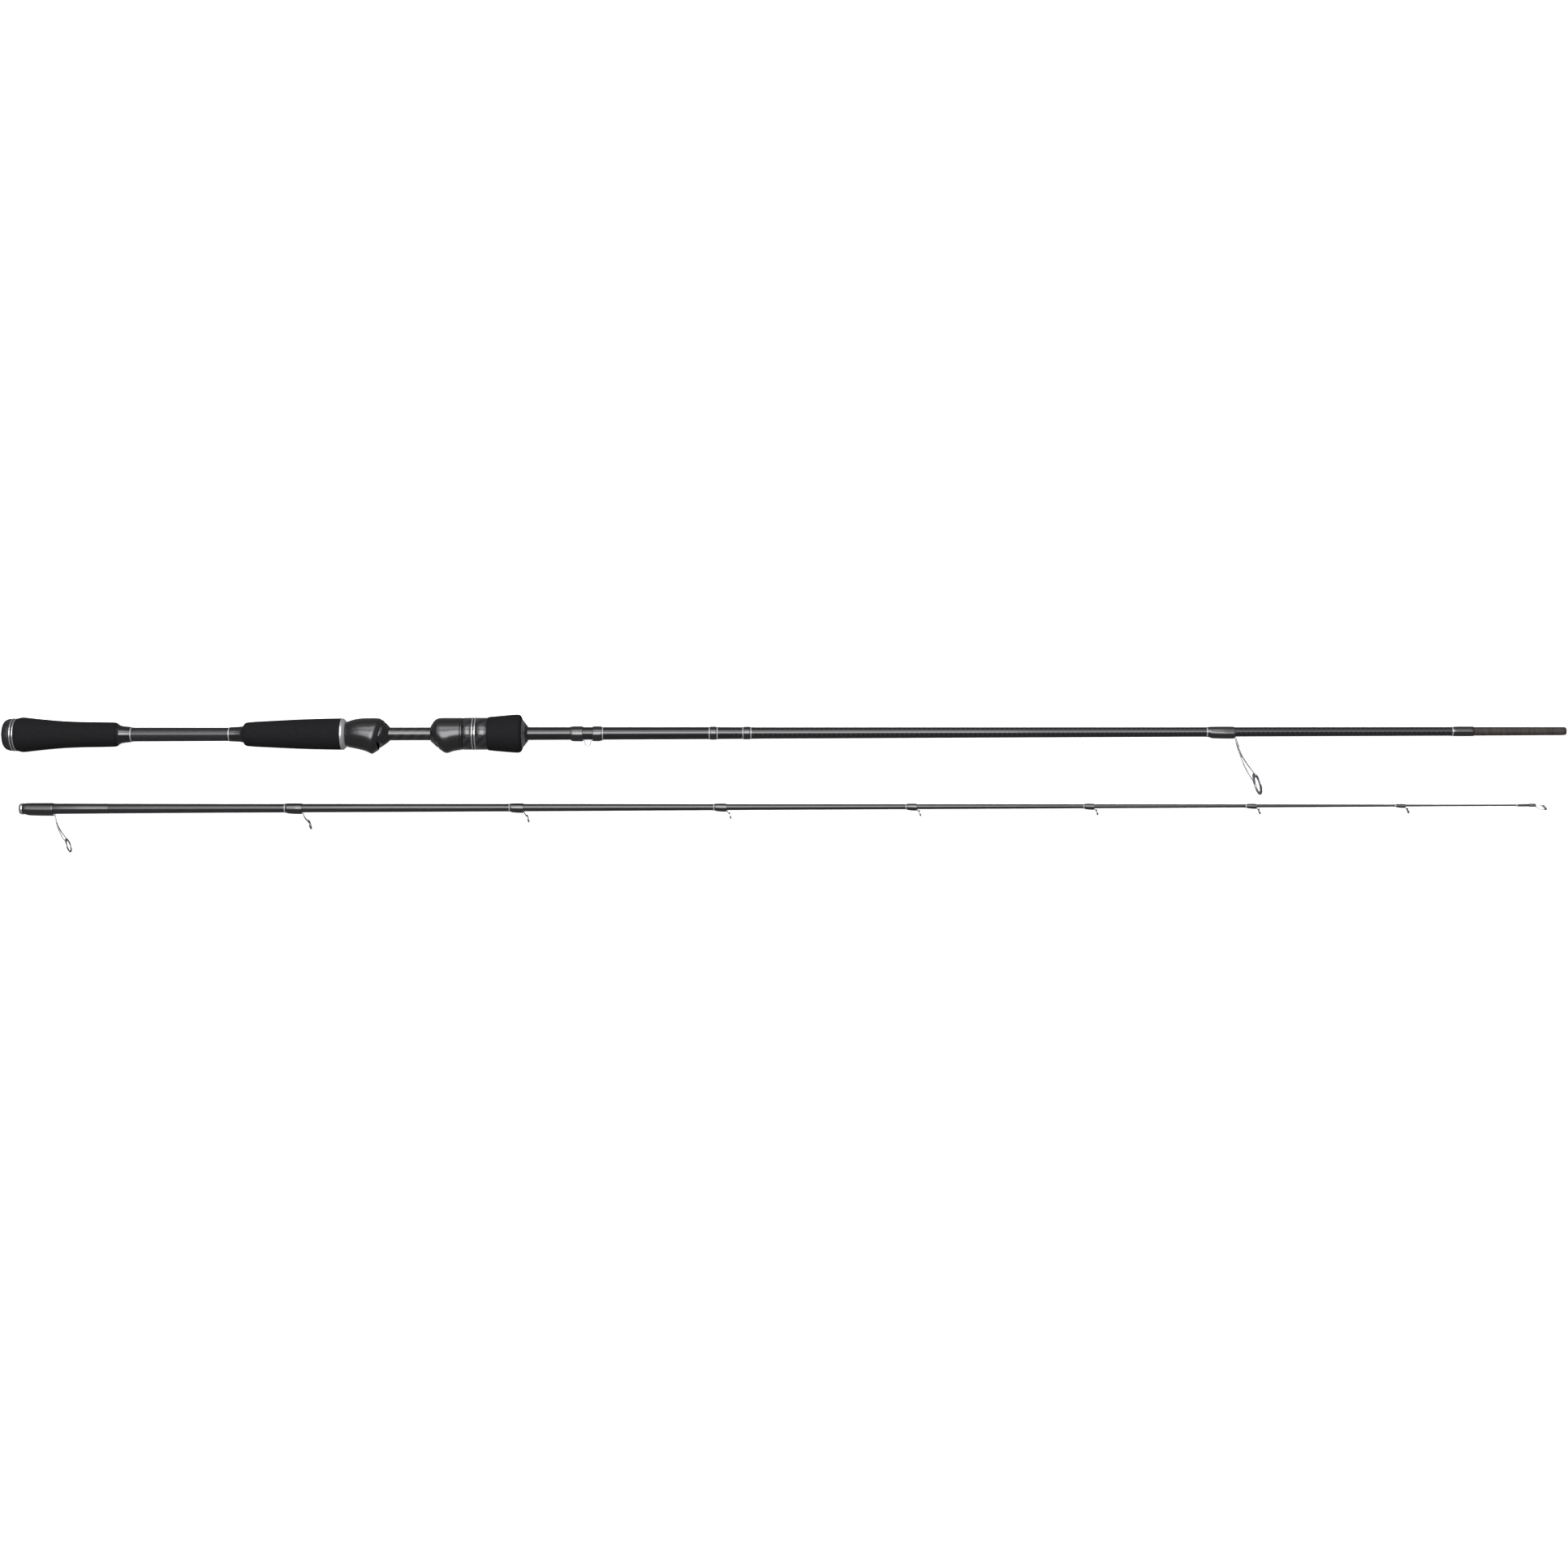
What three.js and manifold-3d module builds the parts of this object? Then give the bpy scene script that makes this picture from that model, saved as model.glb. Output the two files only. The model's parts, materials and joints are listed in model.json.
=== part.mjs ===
// Two-piece spinning rod, taken apart, with its butt section and tip section lying side by side.
// Millimetres, +Z up. Both sections run along +X from butt to tip, with their guides towards -Y: the
// butt section is rolled so that its guide stands a little higher than level.
// Each section is drawn in its own frame: +X along its axis, guides towards -Z, its back towards +Z.

import * as THREE from 'three';
import { mergeVertices } from 'three/addons/utils/BufferGeometryUtils.js';
import Module from 'manifold-3d';

const wasm = await Module();
wasm.setup();

// Layout on the floor
const axisSpacing = 54.8;
const tipSectionStart = 8.4;
const buttRoll = THREE.MathUtils.degToRad(-108);
const tipRoll = THREE.MathUtils.degToRad(-90);

// Clearances
const faceGap = 0.1;
const glueGap = 0.2;
const slideGap = 0.25;

// Facets round each kind of turned piece
const blankSides = 16;
const gripSides = 24;
const wrapSides = 12;
const ringSides = 16;

// Butt blank: [station, outer radius], with the bare male end of the joint as its last stretch
const buttBlank = [
  [3, 5.25], [100, 5.2], [165, 5], [285, 4.83], [390, 4.83], [520, 4.55],
  [560, 4.32], [716, 3.95], [880, 3.6], [1070, 3.3], [1086, 3.25], [1153.4, 3.05], [1154, 2.7],
];
const buttWall = 1.1;
const buttMouth = 2.2;

// Tip blank: [station, outer radius]. The first stretch is the socket that takes the male end.
const socketLength = 66;
const socketBore = { mouth: 3.42, end: 3.22 };
const socketShell = [[0, 3.9], [24.9, 3.95], [socketLength, 3.72]];
const tipBlank = [
  [socketLength + faceGap, 3.7], [150, 3.35], [280, 3.08], [420, 2.7], [560, 2.18],
  [700, 1.85], [840, 1.48], [960, 1.1], [1060, 0.72], [1122, 0.66],
];

// Handle: stations along the butt section
const capFlange = { end: 6.4, radius: 12, faceRadius: 8.5 };
const capRings = [6.4, 8.4];
const decorRing = { width: 1.2, seat: 10.2, radius: 12.15 };
const rearGrip = { start: 9.7, end: 84.2 };
const rearCheck = { start: 84.3, end: 93.4 };
const midCheck = { start: 166.9, end: 177 };
const midGrip = { start: 177.1, end: 249.1 };
const seatCollar = { start: 249.2, end: 252.6 };
const rearHood = { start: 252.8, end: 284.4 };

// Reel seat: a foot slides under both hoods, on a flat 8.5 mm from the axis
const footFlat = 8.5;
const hoodCeiling = 11.6;
const rearPocketStart = 264.6;
const movingHood = { start: 315.2, end: 339.2, rearWall: 3.2 };
const movingPocketEnd = 331;
const threadBarrel = { start: 332, end: 376, radius: 6.8 };

// Lock nut: an insert that carries sleeve, rings, grip and end ring
const nutInsert = { start: 339.6, end: 382.4, bore: 7.05, radius: 10.3, ribRadius: 11.85 };
const nutRings = [346, 348];
const nutRing = { width: 1, radius: 12.05 };
const nutSleeve = { radius: 11.85, end: 357.5 };
const foreGrip = { start: 357.6, end: 382.5 };
const nutBevel = { start: 382.6, end: 385.2, outer: 10.6, inner: 7.8 };
const nutCone = { start: 385.3, end: 386.8, outer: 7.1, inner: 5.5 };

// Hook keeper and bands of thread
const keeperWraps = [{ start: 418.2, end: 427.6 }, { start: 434.8, end: 441.6 }];
const keeper = { centre: 431.2, halfWidth: 2.15, depth: 10.3, wire: 0.4, footLength: 5 };
const trimBands = [{ start: 521.4, end: 526.2 }, { start: 546.3, end: 551.1 }];
const bandHeight = 0.4;
const ferruleWrap = { start: 1070.4, end: 1086 };

// Guides: wrap start, root of the legs, ring centre ahead of the root and out from the axis,
// outside diameter of the ring frame, and thickness of the foot
const ringLean = THREE.MathUtils.degToRad(16);
const buttGuides = [
  { name: 'guide_1', wrap: 889.2, root: 909.2, ahead: 14.2, reach: 40.8, ring: 16.2, foot: 0.9 },
];
const tipGuides = [
  { name: 'guide_2', wrap: 3, root: 25.3, ahead: 10.6, reach: 27.5, ring: 10.6, foot: 0.7 },
  { name: 'guide_3', wrap: 197.4, root: 209.9, ahead: 5.4, reach: 12.4, ring: 7.4, foot: 0.5 },
  { name: 'guide_4', wrap: 364.2, root: 374.3, ahead: 3, reach: 8.2, ring: 6.4, foot: 0.45 },
  { name: 'guide_5', wrap: 516, root: 525.2, ahead: 2.3, reach: 6.4, ring: 5.4, foot: 0.4 },
  { name: 'guide_6', wrap: 658.8, root: 666.5, ahead: 2, reach: 4.9, ring: 4.9, foot: 0.35 },
  { name: 'guide_7', wrap: 790.8, root: 798.2, ahead: 2, reach: 4.5, ring: 4.7, foot: 0.35 },
  { name: 'guide_8', wrap: 911.4, root: 918.8, ahead: 2, reach: 4.2, ring: 4.6, foot: 0.3 },
  { name: 'guide_9', wrap: 1022.4, root: 1029.2, ahead: 2, reach: 3.9, ring: 4.5, foot: 0.3 },
];
const tipTop = {
  wrap: 1112.4, tube: 1121, tubeEnd: 1126.4, radius: 1.25, ringStation: 1132.9, drop: 1.7, ring: 4.6,
};

// ---------------------------------------------------------------- materials

const finishes = {
  foam: { color: 0x2b2a2d, roughness: 0.9, metalness: 0 },
  rubber: { color: 0x2a292c, roughness: 0.8, metalness: 0 },
  glossBlack: { color: 0x17161a, roughness: 0.2, metalness: 0 },
  carbon: { color: 0x2e2c30, roughness: 0.35, metalness: 0.1 },
  graphite: { color: 0x4a484b, roughness: 0.4, metalness: 0.4 },
  aluminium: { color: 0xc9c9cc, roughness: 0.25, metalness: 1 },
  darkSteel: { color: 0x55555a, roughness: 0.3, metalness: 1 },
  steel: { color: 0xb4b4b8, roughness: 0.2, metalness: 1 },
  ceramic: { color: 0x77787a, roughness: 0.25, metalness: 0 },
};

function part(name, finish, geometry) {
  const mesh = new THREE.Mesh(geometry, new THREE.MeshStandardMaterial(finishes[finish]));
  mesh.name = name;
  return mesh;
}

// ---------------------------------------------------------------- shapes

// A shape turned about +X from [station, radius] points that start and end on the axis or close up
function turned(profile, sides) {
  const points = profile.map(([station, radius]) => new THREE.Vector2(radius, station));
  const geometry = new THREE.LatheGeometry(points, sides);
  geometry.rotateZ(-Math.PI / 2);
  return geometry;
}

// A tube about +X, with an outer and an inner outline that both run from rear to front
function tube(outer, inner, sides) {
  return turned([...outer, ...inner.slice().reverse(), outer[0]], sides);
}

function bushing(start, end, inner, outer, sides) {
  return tube([[start, outer], [end, outer]], [[start, inner], [end, inner]], sides);
}

// A smooth outline through a few [station, radius] points
function smooth(points, count) {
  const corners = points.map(([station, radius]) => new THREE.Vector2(station, radius));
  return new THREE.SplineCurve(corners).getPoints(count).map((point) => [point.x, point.y]);
}

function radiusAt(outline, station) {
  const next = Math.max(1, outline.findIndex(([at]) => at >= station));
  const [[fromStation, fromRadius], [toStation, toRadius]] = [outline[next - 1], outline[next]];
  return THREE.MathUtils.mapLinear(station, fromStation, toStation, fromRadius, toRadius);
}

// A closed skin through loops of points that follow each other along +X
function loft(loops) {
  const sides = loops[0].length;
  const rear = new THREE.Vector3();
  const front = new THREE.Vector3();
  loops[0].forEach((point) => rear.addScaledVector(point, 1 / sides));
  loops.at(-1).forEach((point) => front.addScaledVector(point, 1 / sides));
  const points = [...loops.flat(), rear, front];
  const rearIndex = loops.length * sides;
  const lastLoop = rearIndex - sides;
  const index = [];
  for (let side = 0; side < sides; side += 1) {
    const next = (side + 1) % sides;
    index.push(rearIndex, next, side);
    index.push(rearIndex + 1, lastLoop + side, lastLoop + next);
    for (let loop = 0; loop < loops.length - 1; loop += 1) {
      const here = loop * sides;
      const ahead = here + sides;
      index.push(here + side, here + next, ahead + side);
      index.push(here + next, ahead + next, ahead + side);
    }
  }
  const geometry = new THREE.BufferGeometry().setFromPoints(points);
  geometry.setIndex(index);
  return geometry;
}

// Loops round the axis whose outline changes from a back outline to a guide-side outline
function lobedLoops(rows, sides, sharpness) {
  return rows.map(({ back, guide }) => {
    const loop = [];
    for (let side = 0; side < sides; side += 1) {
      const angle = (side / sides) * Math.PI * 2;
      const weight = Math.max(0, -Math.sin(angle)) ** sharpness;
      const station = THREE.MathUtils.lerp(back[0], guide[0], weight);
      const radius = THREE.MathUtils.lerp(back[1], guide[1], weight);
      loop.push(new THREE.Vector3(station, radius * Math.cos(angle), radius * Math.sin(angle)));
    }
    return loop;
  });
}

function bar(points, width, thickness, steps) {
  const path = new THREE.CatmullRomCurve3(points.map((point) => new THREE.Vector3(...point)));
  const section = new THREE.Shape([
    new THREE.Vector2(-width / 2, -thickness / 2),
    new THREE.Vector2(width / 2, -thickness / 2),
    new THREE.Vector2(width / 2, thickness / 2),
    new THREE.Vector2(-width / 2, thickness / 2),
  ]);
  return new THREE.ExtrudeGeometry(section, { extrudePath: path, steps, bevelEnabled: false });
}

function box(low, high) {
  const size = low.map((value, axis) => high[axis] - value);
  const geometry = new THREE.BoxGeometry(...size);
  geometry.translate(...low.map((value, axis) => value + size[axis] / 2));
  return geometry;
}

// ---------------------------------------------------------------- joining and cutting

function solid(geometry) {
  const bare = geometry.clone();
  bare.deleteAttribute('normal');
  bare.deleteAttribute('uv');
  const welded = mergeVertices(bare, 1e-4);
  const corners = welded.index.array;
  const triVerts = [];
  for (let at = 0; at < corners.length; at += 3) {
    const [a, b, c] = corners.subarray(at, at + 3);
    if (a !== b && b !== c && c !== a) {
      triVerts.push(a, b, c);
    }
  }
  const vertProperties = new Float32Array(welded.attributes.position.array);
  const mesh = { numProp: 3, vertProperties, triVerts: new Uint32Array(triVerts) };
  return new wasm.Manifold(new wasm.Mesh(mesh));
}

function skin(manifold) {
  const { vertProperties, triVerts } = manifold.getMesh();
  const geometry = new THREE.BufferGeometry();
  geometry.setAttribute('position', new THREE.BufferAttribute(new Float32Array(vertProperties), 3));
  geometry.setIndex([...triVerts]);
  return geometry;
}

function joined(first, ...others) {
  return skin(others.reduce((whole, other) => whole.add(solid(other)), solid(first)));
}

function cut(first, ...tools) {
  return skin(tools.reduce((whole, tool) => whole.subtract(solid(tool)), solid(first)));
}

// ---------------------------------------------------------------- thread wraps

// Wrap over a guide foot: its outside swells towards the root of the legs on the guide side
function footWrap(start, end, outline, footHeight, footWidth) {
  const blank = radiusAt(outline, (start + end) / 2);
  const back = blank + 0.35 + footHeight * 0.1;
  const foot = blank + faceGap * 2 + footHeight;
  const length = end - start;
  const rows = [
    { back: [start, blank + 0.3], guide: [start, blank + 0.35] },
    { back: [start + length * 0.12, back], guide: [start + length * 0.15, foot + 0.1] },
    { back: [start + length * 0.5, back + 0.05], guide: [start + length * 0.55, foot + 0.42] },
    { back: [end - length * 0.08, back], guide: [end - length * 0.04, foot + 0.48] },
    { back: [end, blank + 0.3], guide: [end, foot + 0.42] },
  ];
  const shell = loft(lobedLoops(rows, wrapSides, 1.6));
  const bore = blankBore(start - 1, end + 1, outline, faceGap);
  const slot = footBar(start + length * 0.15 - faceGap, end + 1, blank, footHeight, footWidth, faceGap);
  return cut(shell, bore, slot);
}

// Solid rod a little fatter than the blank, to cut a bore that fits it
function blankBore(start, end, outline, gap) {
  const sampled = [start, end].map((station) => [station, radiusAt(outline, station) + gap]);
  return turned([[start, 0], ...sampled, [end, 0]], blankSides);
}

function footBreadth(height) {
  return 0.6 + height * 1.3;
}

function footBar(start, end, blank, height, width, grow) {
  const top = -(blank + faceGap) + grow;
  const bottom = -(blank + faceGap + height) - grow;
  return box([start, -width / 2 - grow, bottom], [end, width / 2 + grow, top]);
}

// ---------------------------------------------------------------- guides

function ringSizes(outside) {
  const band = Math.max(0.3, outside * 0.045);
  const insertOuter = outside / 2 - band - faceGap;
  const depth = Math.max(1.1, outside * 0.13);
  return { outer: outside / 2, band, insertOuter, bore: insertOuter * 0.8, depth };
}

// Puts a shape made round its own +X axis at the ring's place, leaning forward at its lower end
function atRing(geometry, station, reach, lean) {
  geometry.rotateY(-lean);
  geometry.translate(station, 0, -reach);
  return geometry;
}

// Frame of a single-foot guide: a foot, two legs that spread to the sides of the ring, and the band
function guideFrame({ wrap, root, ahead, reach, ring, foot }, outline) {
  const sizes = ringSizes(ring);
  const blank = radiusAt(outline, root);
  const footWidth = footBreadth(foot);
  const footStart = wrap + (root - wrap) * 0.15;
  const footMiddle = blank + faceGap + foot / 2;
  const shapes = [footBar(footStart, root + foot, blank, foot, footWidth, 0)];
  const bandSize = [-sizes.depth / 2, sizes.depth / 2, sizes.outer - sizes.band, sizes.outer];
  shapes.push(atRing(bushing(...bandSize, ringSides), root + ahead, reach, ringLean));
  const spread = THREE.MathUtils.degToRad(52);
  const grip = sizes.outer - sizes.band * 0.4;
  for (const side of [-1, 1]) {
    const onBand = [-sizes.depth * 0.3, side * grip * Math.sin(spread), grip * Math.cos(spread)];
    const end = new THREE.Vector3(...onBand);
    end.applyAxisAngle(new THREE.Vector3(0, 1, 0), -ringLean);
    end.add(new THREE.Vector3(root + ahead, 0, -reach));
    const legStart = root + foot * 0.5;
    const start = [legStart, side * (footWidth - foot) * 0.4, -footMiddle];
    const bow = side * (footWidth + sizes.outer) * 0.25;
    const middle = [legStart + ahead * 0.28, bow, (end.z - footMiddle) * 0.5];
    shapes.push(bar([start, middle, end.toArray()], foot * 0.9, foot * 0.9, 4));
  }
  return joined(...shapes);
}

// Polished ring that the line runs through, rounded towards its bore
function ceramicInsert(outside) {
  const { insertOuter, bore, depth } = ringSizes(outside);
  const half = depth * 0.62;
  const edge = (insertOuter + bore) / 2;
  const seat = half * 0.7;
  const profile = [
    [-half, edge], [-seat, insertOuter], [seat, insertOuter], [half, edge], [0, bore], [-half, edge],
  ];
  return turned(profile, ringSides);
}

function ceramicRing({ root, ahead, reach, ring }) {
  return atRing(ceramicInsert(ring), root + ahead, reach, ringLean);
}

function addGuides(section, guides, outline) {
  for (const guide of guides) {
    const wrapEnd = guide.root - 0.3;
    const wrap = footWrap(guide.wrap, wrapEnd, outline, guide.foot, footBreadth(guide.foot));
    section.add(part(`${guide.name}_frame`, 'darkSteel', guideFrame(guide, outline)));
    section.add(part(`${guide.name}_ring`, 'ceramic', ceramicRing(guide)));
    section.add(part(`${guide.name}_wrap`, 'glossBlack', wrap));
  }
}

// ---------------------------------------------------------------- blank and handle

function buttBlankTube() {
  const bore = buttBlank.slice(0, -1).map(([station, radius]) => [station, radius - buttWall]);
  const [end] = buttBlank.at(-1);
  return tube(buttBlank, [...bore, [end, buttMouth]], blankSides);
}

function buttCap() {
  const { end, radius, faceRadius } = capFlange;
  const bore = buttBlank[0][1] + glueGap;
  const [, frontRing] = capRings;
  const profile = [
    [0, 0], [0, faceRadius], [0.9, 10.2], [2.4, 11.3], [4.4, 11.85], [end, radius], [end, decorRing.seat],
    [end + decorRing.width, decorRing.seat], [end + decorRing.width, radius], [frontRing, radius],
    [frontRing, decorRing.seat], [rearGrip.start - faceGap, decorRing.seat],
    [rearGrip.start - faceGap, bore], [2.7, bore], [2.7, 0],
  ];
  return turned(profile, gripSides);
}

function capRing(start) {
  const { width, seat, radius } = decorRing;
  return bushing(start + faceGap, start + width - faceGap, seat + faceGap, radius, gripSides);
}

function rearGripFoam() {
  const { start, end } = rearGrip;
  const swell = smooth([
    [start, 12], [12, 12.62], [14.6, 12.84], [20.4, 12.2], [30, 11.2],
    [42, 10.15], [56, 9.5], [72, 9.25], [80, 9.08],
  ], 10);
  const bore = buttBlank[0][1] + glueGap;
  return tube([...swell, [82.6, 8.9], [end, 7.9]], [[start, bore], [end, bore]], gripSides);
}

// Winding check: a trumpet that closes the end of a grip against the blank
function windingCheck({ start, end }, wide, narrow, wideAtStart) {
  const length = end - start;
  const shape = [[0, wide], [0.16, 0.55], [0.4, 0.28], [0.7, 0.12], [1, 0]].map(([along, share], at) => {
    const radius = at === 0 ? wide : narrow + (wide - narrow) * share;
    return [wideAtStart ? start + along * length : end - along * length, radius];
  });
  const outer = wideAtStart ? shape : shape.reverse();
  const bore = radiusAt(buttBlank, start) + glueGap;
  return tube(outer, [[start, bore], [end, bore]], gripSides);
}

function midGripFoam() {
  const { start, end } = midGrip;
  const swell = smooth([
    [start + 3.4, 8.95], [start + 8, 9.3], [194, 9.75], [206, 10.35], [218, 10.92], [230, 11.3],
    [242, 11.58], [end, 11.65],
  ], 7);
  const bore = radiusAt(buttBlank, start) + glueGap;
  const outer = [[start, 6.6], [start + 0.5, 7.8], [start + 1.6, 8.5], ...swell];
  return tube(outer, [[start, bore], [end, bore]], gripSides);
}

function collar() {
  const { start, end } = seatCollar;
  const bore = radiusAt(buttBlank, start) + glueGap;
  const outer = [[start, 11.5], [start + 0.5, 11.75], [start + 1.5, 11.5], [end, 9.7]];
  return tube(outer, [[start, bore], [end, bore]], gripSides);
}

// ---------------------------------------------------------------- reel seat

// Room for a reel foot: flat below, curved above, open towards the other hood
function footPocket(start, end) {
  const half = Math.acos(footFlat / hoodCeiling);
  const outline = new THREE.Shape();
  outline.absarc(0, 0, hoodCeiling, -Math.PI / 2 - half, -Math.PI / 2 + half, false);
  outline.closePath();
  const settings = { depth: end - start, bevelEnabled: false, curveSegments: 10 };
  const alongX = new THREE.Matrix4().set(0, 0, 1, start, 1, 0, 0, 0, 0, 1, 0, 0, 0, 0, 0, 1);
  return new THREE.ExtrudeGeometry(outline, settings).applyMatrix4(alongX);
}

function rearHoodBody() {
  const { start, end } = rearHood;
  const rows = [
    { back: [start, 8.4], guide: [start, 8.6] },
    { back: [start + 1.4, 9.5], guide: [start + 1.4, 9.7] },
    { back: [258, 10.7], guide: [258, 10.5] },
    { back: [262.8, 11.55], guide: [262.8, 11.6] },
    { back: [268, 11.8], guide: [267, 12.9] },
    { back: [273.5, 11.8], guide: [270.4, 14.5] },
    { back: [277.4, 11.5], guide: [272, 15.1] },
    { back: [280, 10], guide: [276.2, 12.2] },
    { back: [281.8, 8.2], guide: [279, 9.5] },
    { back: [283.4, 6.6], guide: [282.2, 7.2] },
    { back: [end, 5.4], guide: [end, 5.4] },
  ];
  const body = loft(lobedLoops(rows, gripSides, 2));
  return cut(body, blankBore(start - 1, end + 1, buttBlank, glueGap), footPocket(rearPocketStart, end + 5));
}

function movingHoodBody() {
  const { start, end, rearWall } = movingHood;
  const rows = [
    { back: [start, 5.5], guide: [start, 5.5] },
    { back: [start + 0.6, 6.8], guide: [start + 0.8, 6.6] },
    { back: [317.2, 9.2], guide: [318, 8.2] },
    { back: [318.8, 10.7], guide: [320.4, 10.8] },
    { back: [320.8, 11.6], guide: [323.2, 12.7] },
    { back: [323.2, 11.85], guide: [325.8, 14.3] },
    { back: [327, 11.85], guide: [328.4, 14.3] },
    { back: [331, 11.85], guide: [331.6, 13] },
    { back: [335, 11.85], guide: [335, 12.3] },
    { back: [end, 11.8], guide: [end, 11.85] },
  ];
  const body = loft(lobedLoops(rows, gripSides, 2));
  const throat = turned([[start - 1, 0], [start - 1, 5.08], [end + 1, 5.08], [end + 1, 0]], blankSides);
  const wall = start + rearWall;
  const barrelRoom = threadBarrel.radius + slideGap;
  const room = turned([[wall, 0], [wall, barrelRoom], [end + 1, barrelRoom], [end + 1, 0]], blankSides);
  return cut(body, throat, room, footPocket(start - 5, movingPocketEnd));
}

function barrel() {
  const { start, end, radius } = threadBarrel;
  return bushing(start, end, radiusAt(buttBlank, start) + glueGap, radius, blankSides);
}

// ---------------------------------------------------------------- lock nut

function nutInsertBody() {
  const { start, end, bore, radius, ribRadius } = nutInsert;
  const ribStart = nutRings[0] + nutRing.width + faceGap;
  const ribEnd = nutRings[1] - faceGap;
  const outer = [
    [start, radius], [ribStart, radius], [ribStart, ribRadius],
    [ribEnd, ribRadius], [ribEnd, radius], [end, radius],
  ];
  return tube(outer, [[start, bore], [end, bore]], gripSides);
}

function foreGripFoam() {
  const { start, end } = foreGrip;
  const flare = smooth([[start, 12.4], [363.6, 12.95], [371, 13.6], [378, 14.16]], 5);
  const bore = nutInsert.radius + faceGap;
  const outer = [...flare, [379.8, 14.1], [381.2, 13.2], [end, 11.2]];
  return tube(outer, [[start, bore], [end, bore]], gripSides);
}

function nutCollar({ start, end, outer, inner }) {
  const bore = radiusAt(buttBlank, start) + slideGap;
  return tube([[start, outer], [end, inner]], [[start, bore], [end, bore]], gripSides);
}

function addLockNut(section) {
  const seat = nutInsert.radius + faceGap;
  const [rearRing, frontRing] = nutRings;
  const sleeveSplit = frontRing + nutRing.width + faceGap;
  const ring = (start) => bushing(start, start + nutRing.width, seat, nutRing.radius, gripSides);
  const sleeve = (start, end) => bushing(start, end, seat, nutSleeve.radius, gripSides);
  const pieces = [
    ['nut_insert', 'glossBlack', nutInsertBody()],
    ['nut_sleeve_rear', 'carbon', sleeve(nutInsert.start, rearRing - faceGap)],
    ['nut_ring_rear', 'aluminium', ring(rearRing)],
    ['nut_ring_front', 'aluminium', ring(frontRing)],
    ['nut_sleeve_front', 'carbon', sleeve(sleeveSplit, nutSleeve.end)],
    ['fore_grip', 'foam', foreGripFoam()],
    ['nut_bevel_ring', 'aluminium', nutCollar(nutBevel)],
    ['nut_end_cone', 'glossBlack', nutCollar(nutCone)],
  ];
  pieces.forEach(([name, finish, geometry]) => section.add(part(name, finish, geometry)));
}

// ---------------------------------------------------------------- hook keeper

// Wire bent into a U, with a foot at each end that lies along the blank under its own wrap
function keeperWire() {
  const { centre, halfWidth, depth, wire, footLength } = keeper;
  const blank = radiusAt(buttBlank, centre);
  const footDepth = blank + faceGap + wire;
  const run = halfWidth + footLength;
  const bottom = depth - wire;
  const half = [
    [run, footDepth], [halfWidth + 1.4, footDepth + 0.02], [halfWidth + 0.3, footDepth + 0.6],
    [halfWidth - 0.05, footDepth + 1.8], [halfWidth - 0.3, bottom - 1.6], [halfWidth * 0.5, bottom - 0.25],
  ];
  const rear = half.map(([away, down]) => [centre - away, 0, -down]);
  const front = half.map(([away, down]) => [centre + away, 0, -down]).reverse();
  return bar([...rear, [centre, 0, -bottom], ...front], wire * 2, wire * 2, 32);
}

function addKeeper(section) {
  section.add(part('hook_keeper', 'steel', keeperWire()));
  keeperWraps.forEach(({ start, end }, at) => {
    const name = at === 0 ? 'keeper_wrap_rear' : 'keeper_wrap_front';
    const blank = radiusAt(buttBlank, (start + end) / 2);
    const rows = [
      { back: [start, blank + 0.25], guide: [start, blank + 0.3] },
      { back: [start + 2.6, blank + 0.62], guide: [start + 2.6, blank + 1.15] },
      { back: [end - 2.6, blank + 0.62], guide: [end - 2.6, blank + 1.2] },
      { back: [end, blank + 0.35], guide: [end, blank + 0.5] },
    ];
    if (at === 0) {
      rows[3] = { back: [end, blank + 0.5], guide: [end, blank + 1.15] };
    } else {
      rows[0] = { back: [start, blank + 0.5], guide: [start, blank + 1.15] };
    }
    const shell = loft(lobedLoops(rows, wrapSides, 1.6));
    const run = keeper.halfWidth + keeper.footLength + faceGap;
    const wire = keeper.wire * 2;
    const slot = footBar(keeper.centre - run, keeper.centre + run, blank, wire, wire, faceGap);
    const bore = blankBore(start - 1, end + 1, buttBlank, faceGap);
    section.add(part(name, 'glossBlack', cut(shell, bore, slot)));
  });
}

// ---------------------------------------------------------------- tip section

function socketTube() {
  const inner = [[0, socketBore.mouth], [socketLength, socketBore.end]];
  return tube(socketShell, inner, blankSides);
}

function tipBlankTube() {
  const [start, radius] = tipBlank[0];
  const [end] = tipBlank.at(-1);
  const boreEnd = 1000;
  const bore = [[start, radius - 1.2], [700, 0.9], [boreEnd, 0.25]];
  return turned([...tipBlank, [end, 0], [boreEnd, 0], ...bore.reverse(), tipBlank[0]], blankSides);
}

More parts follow.
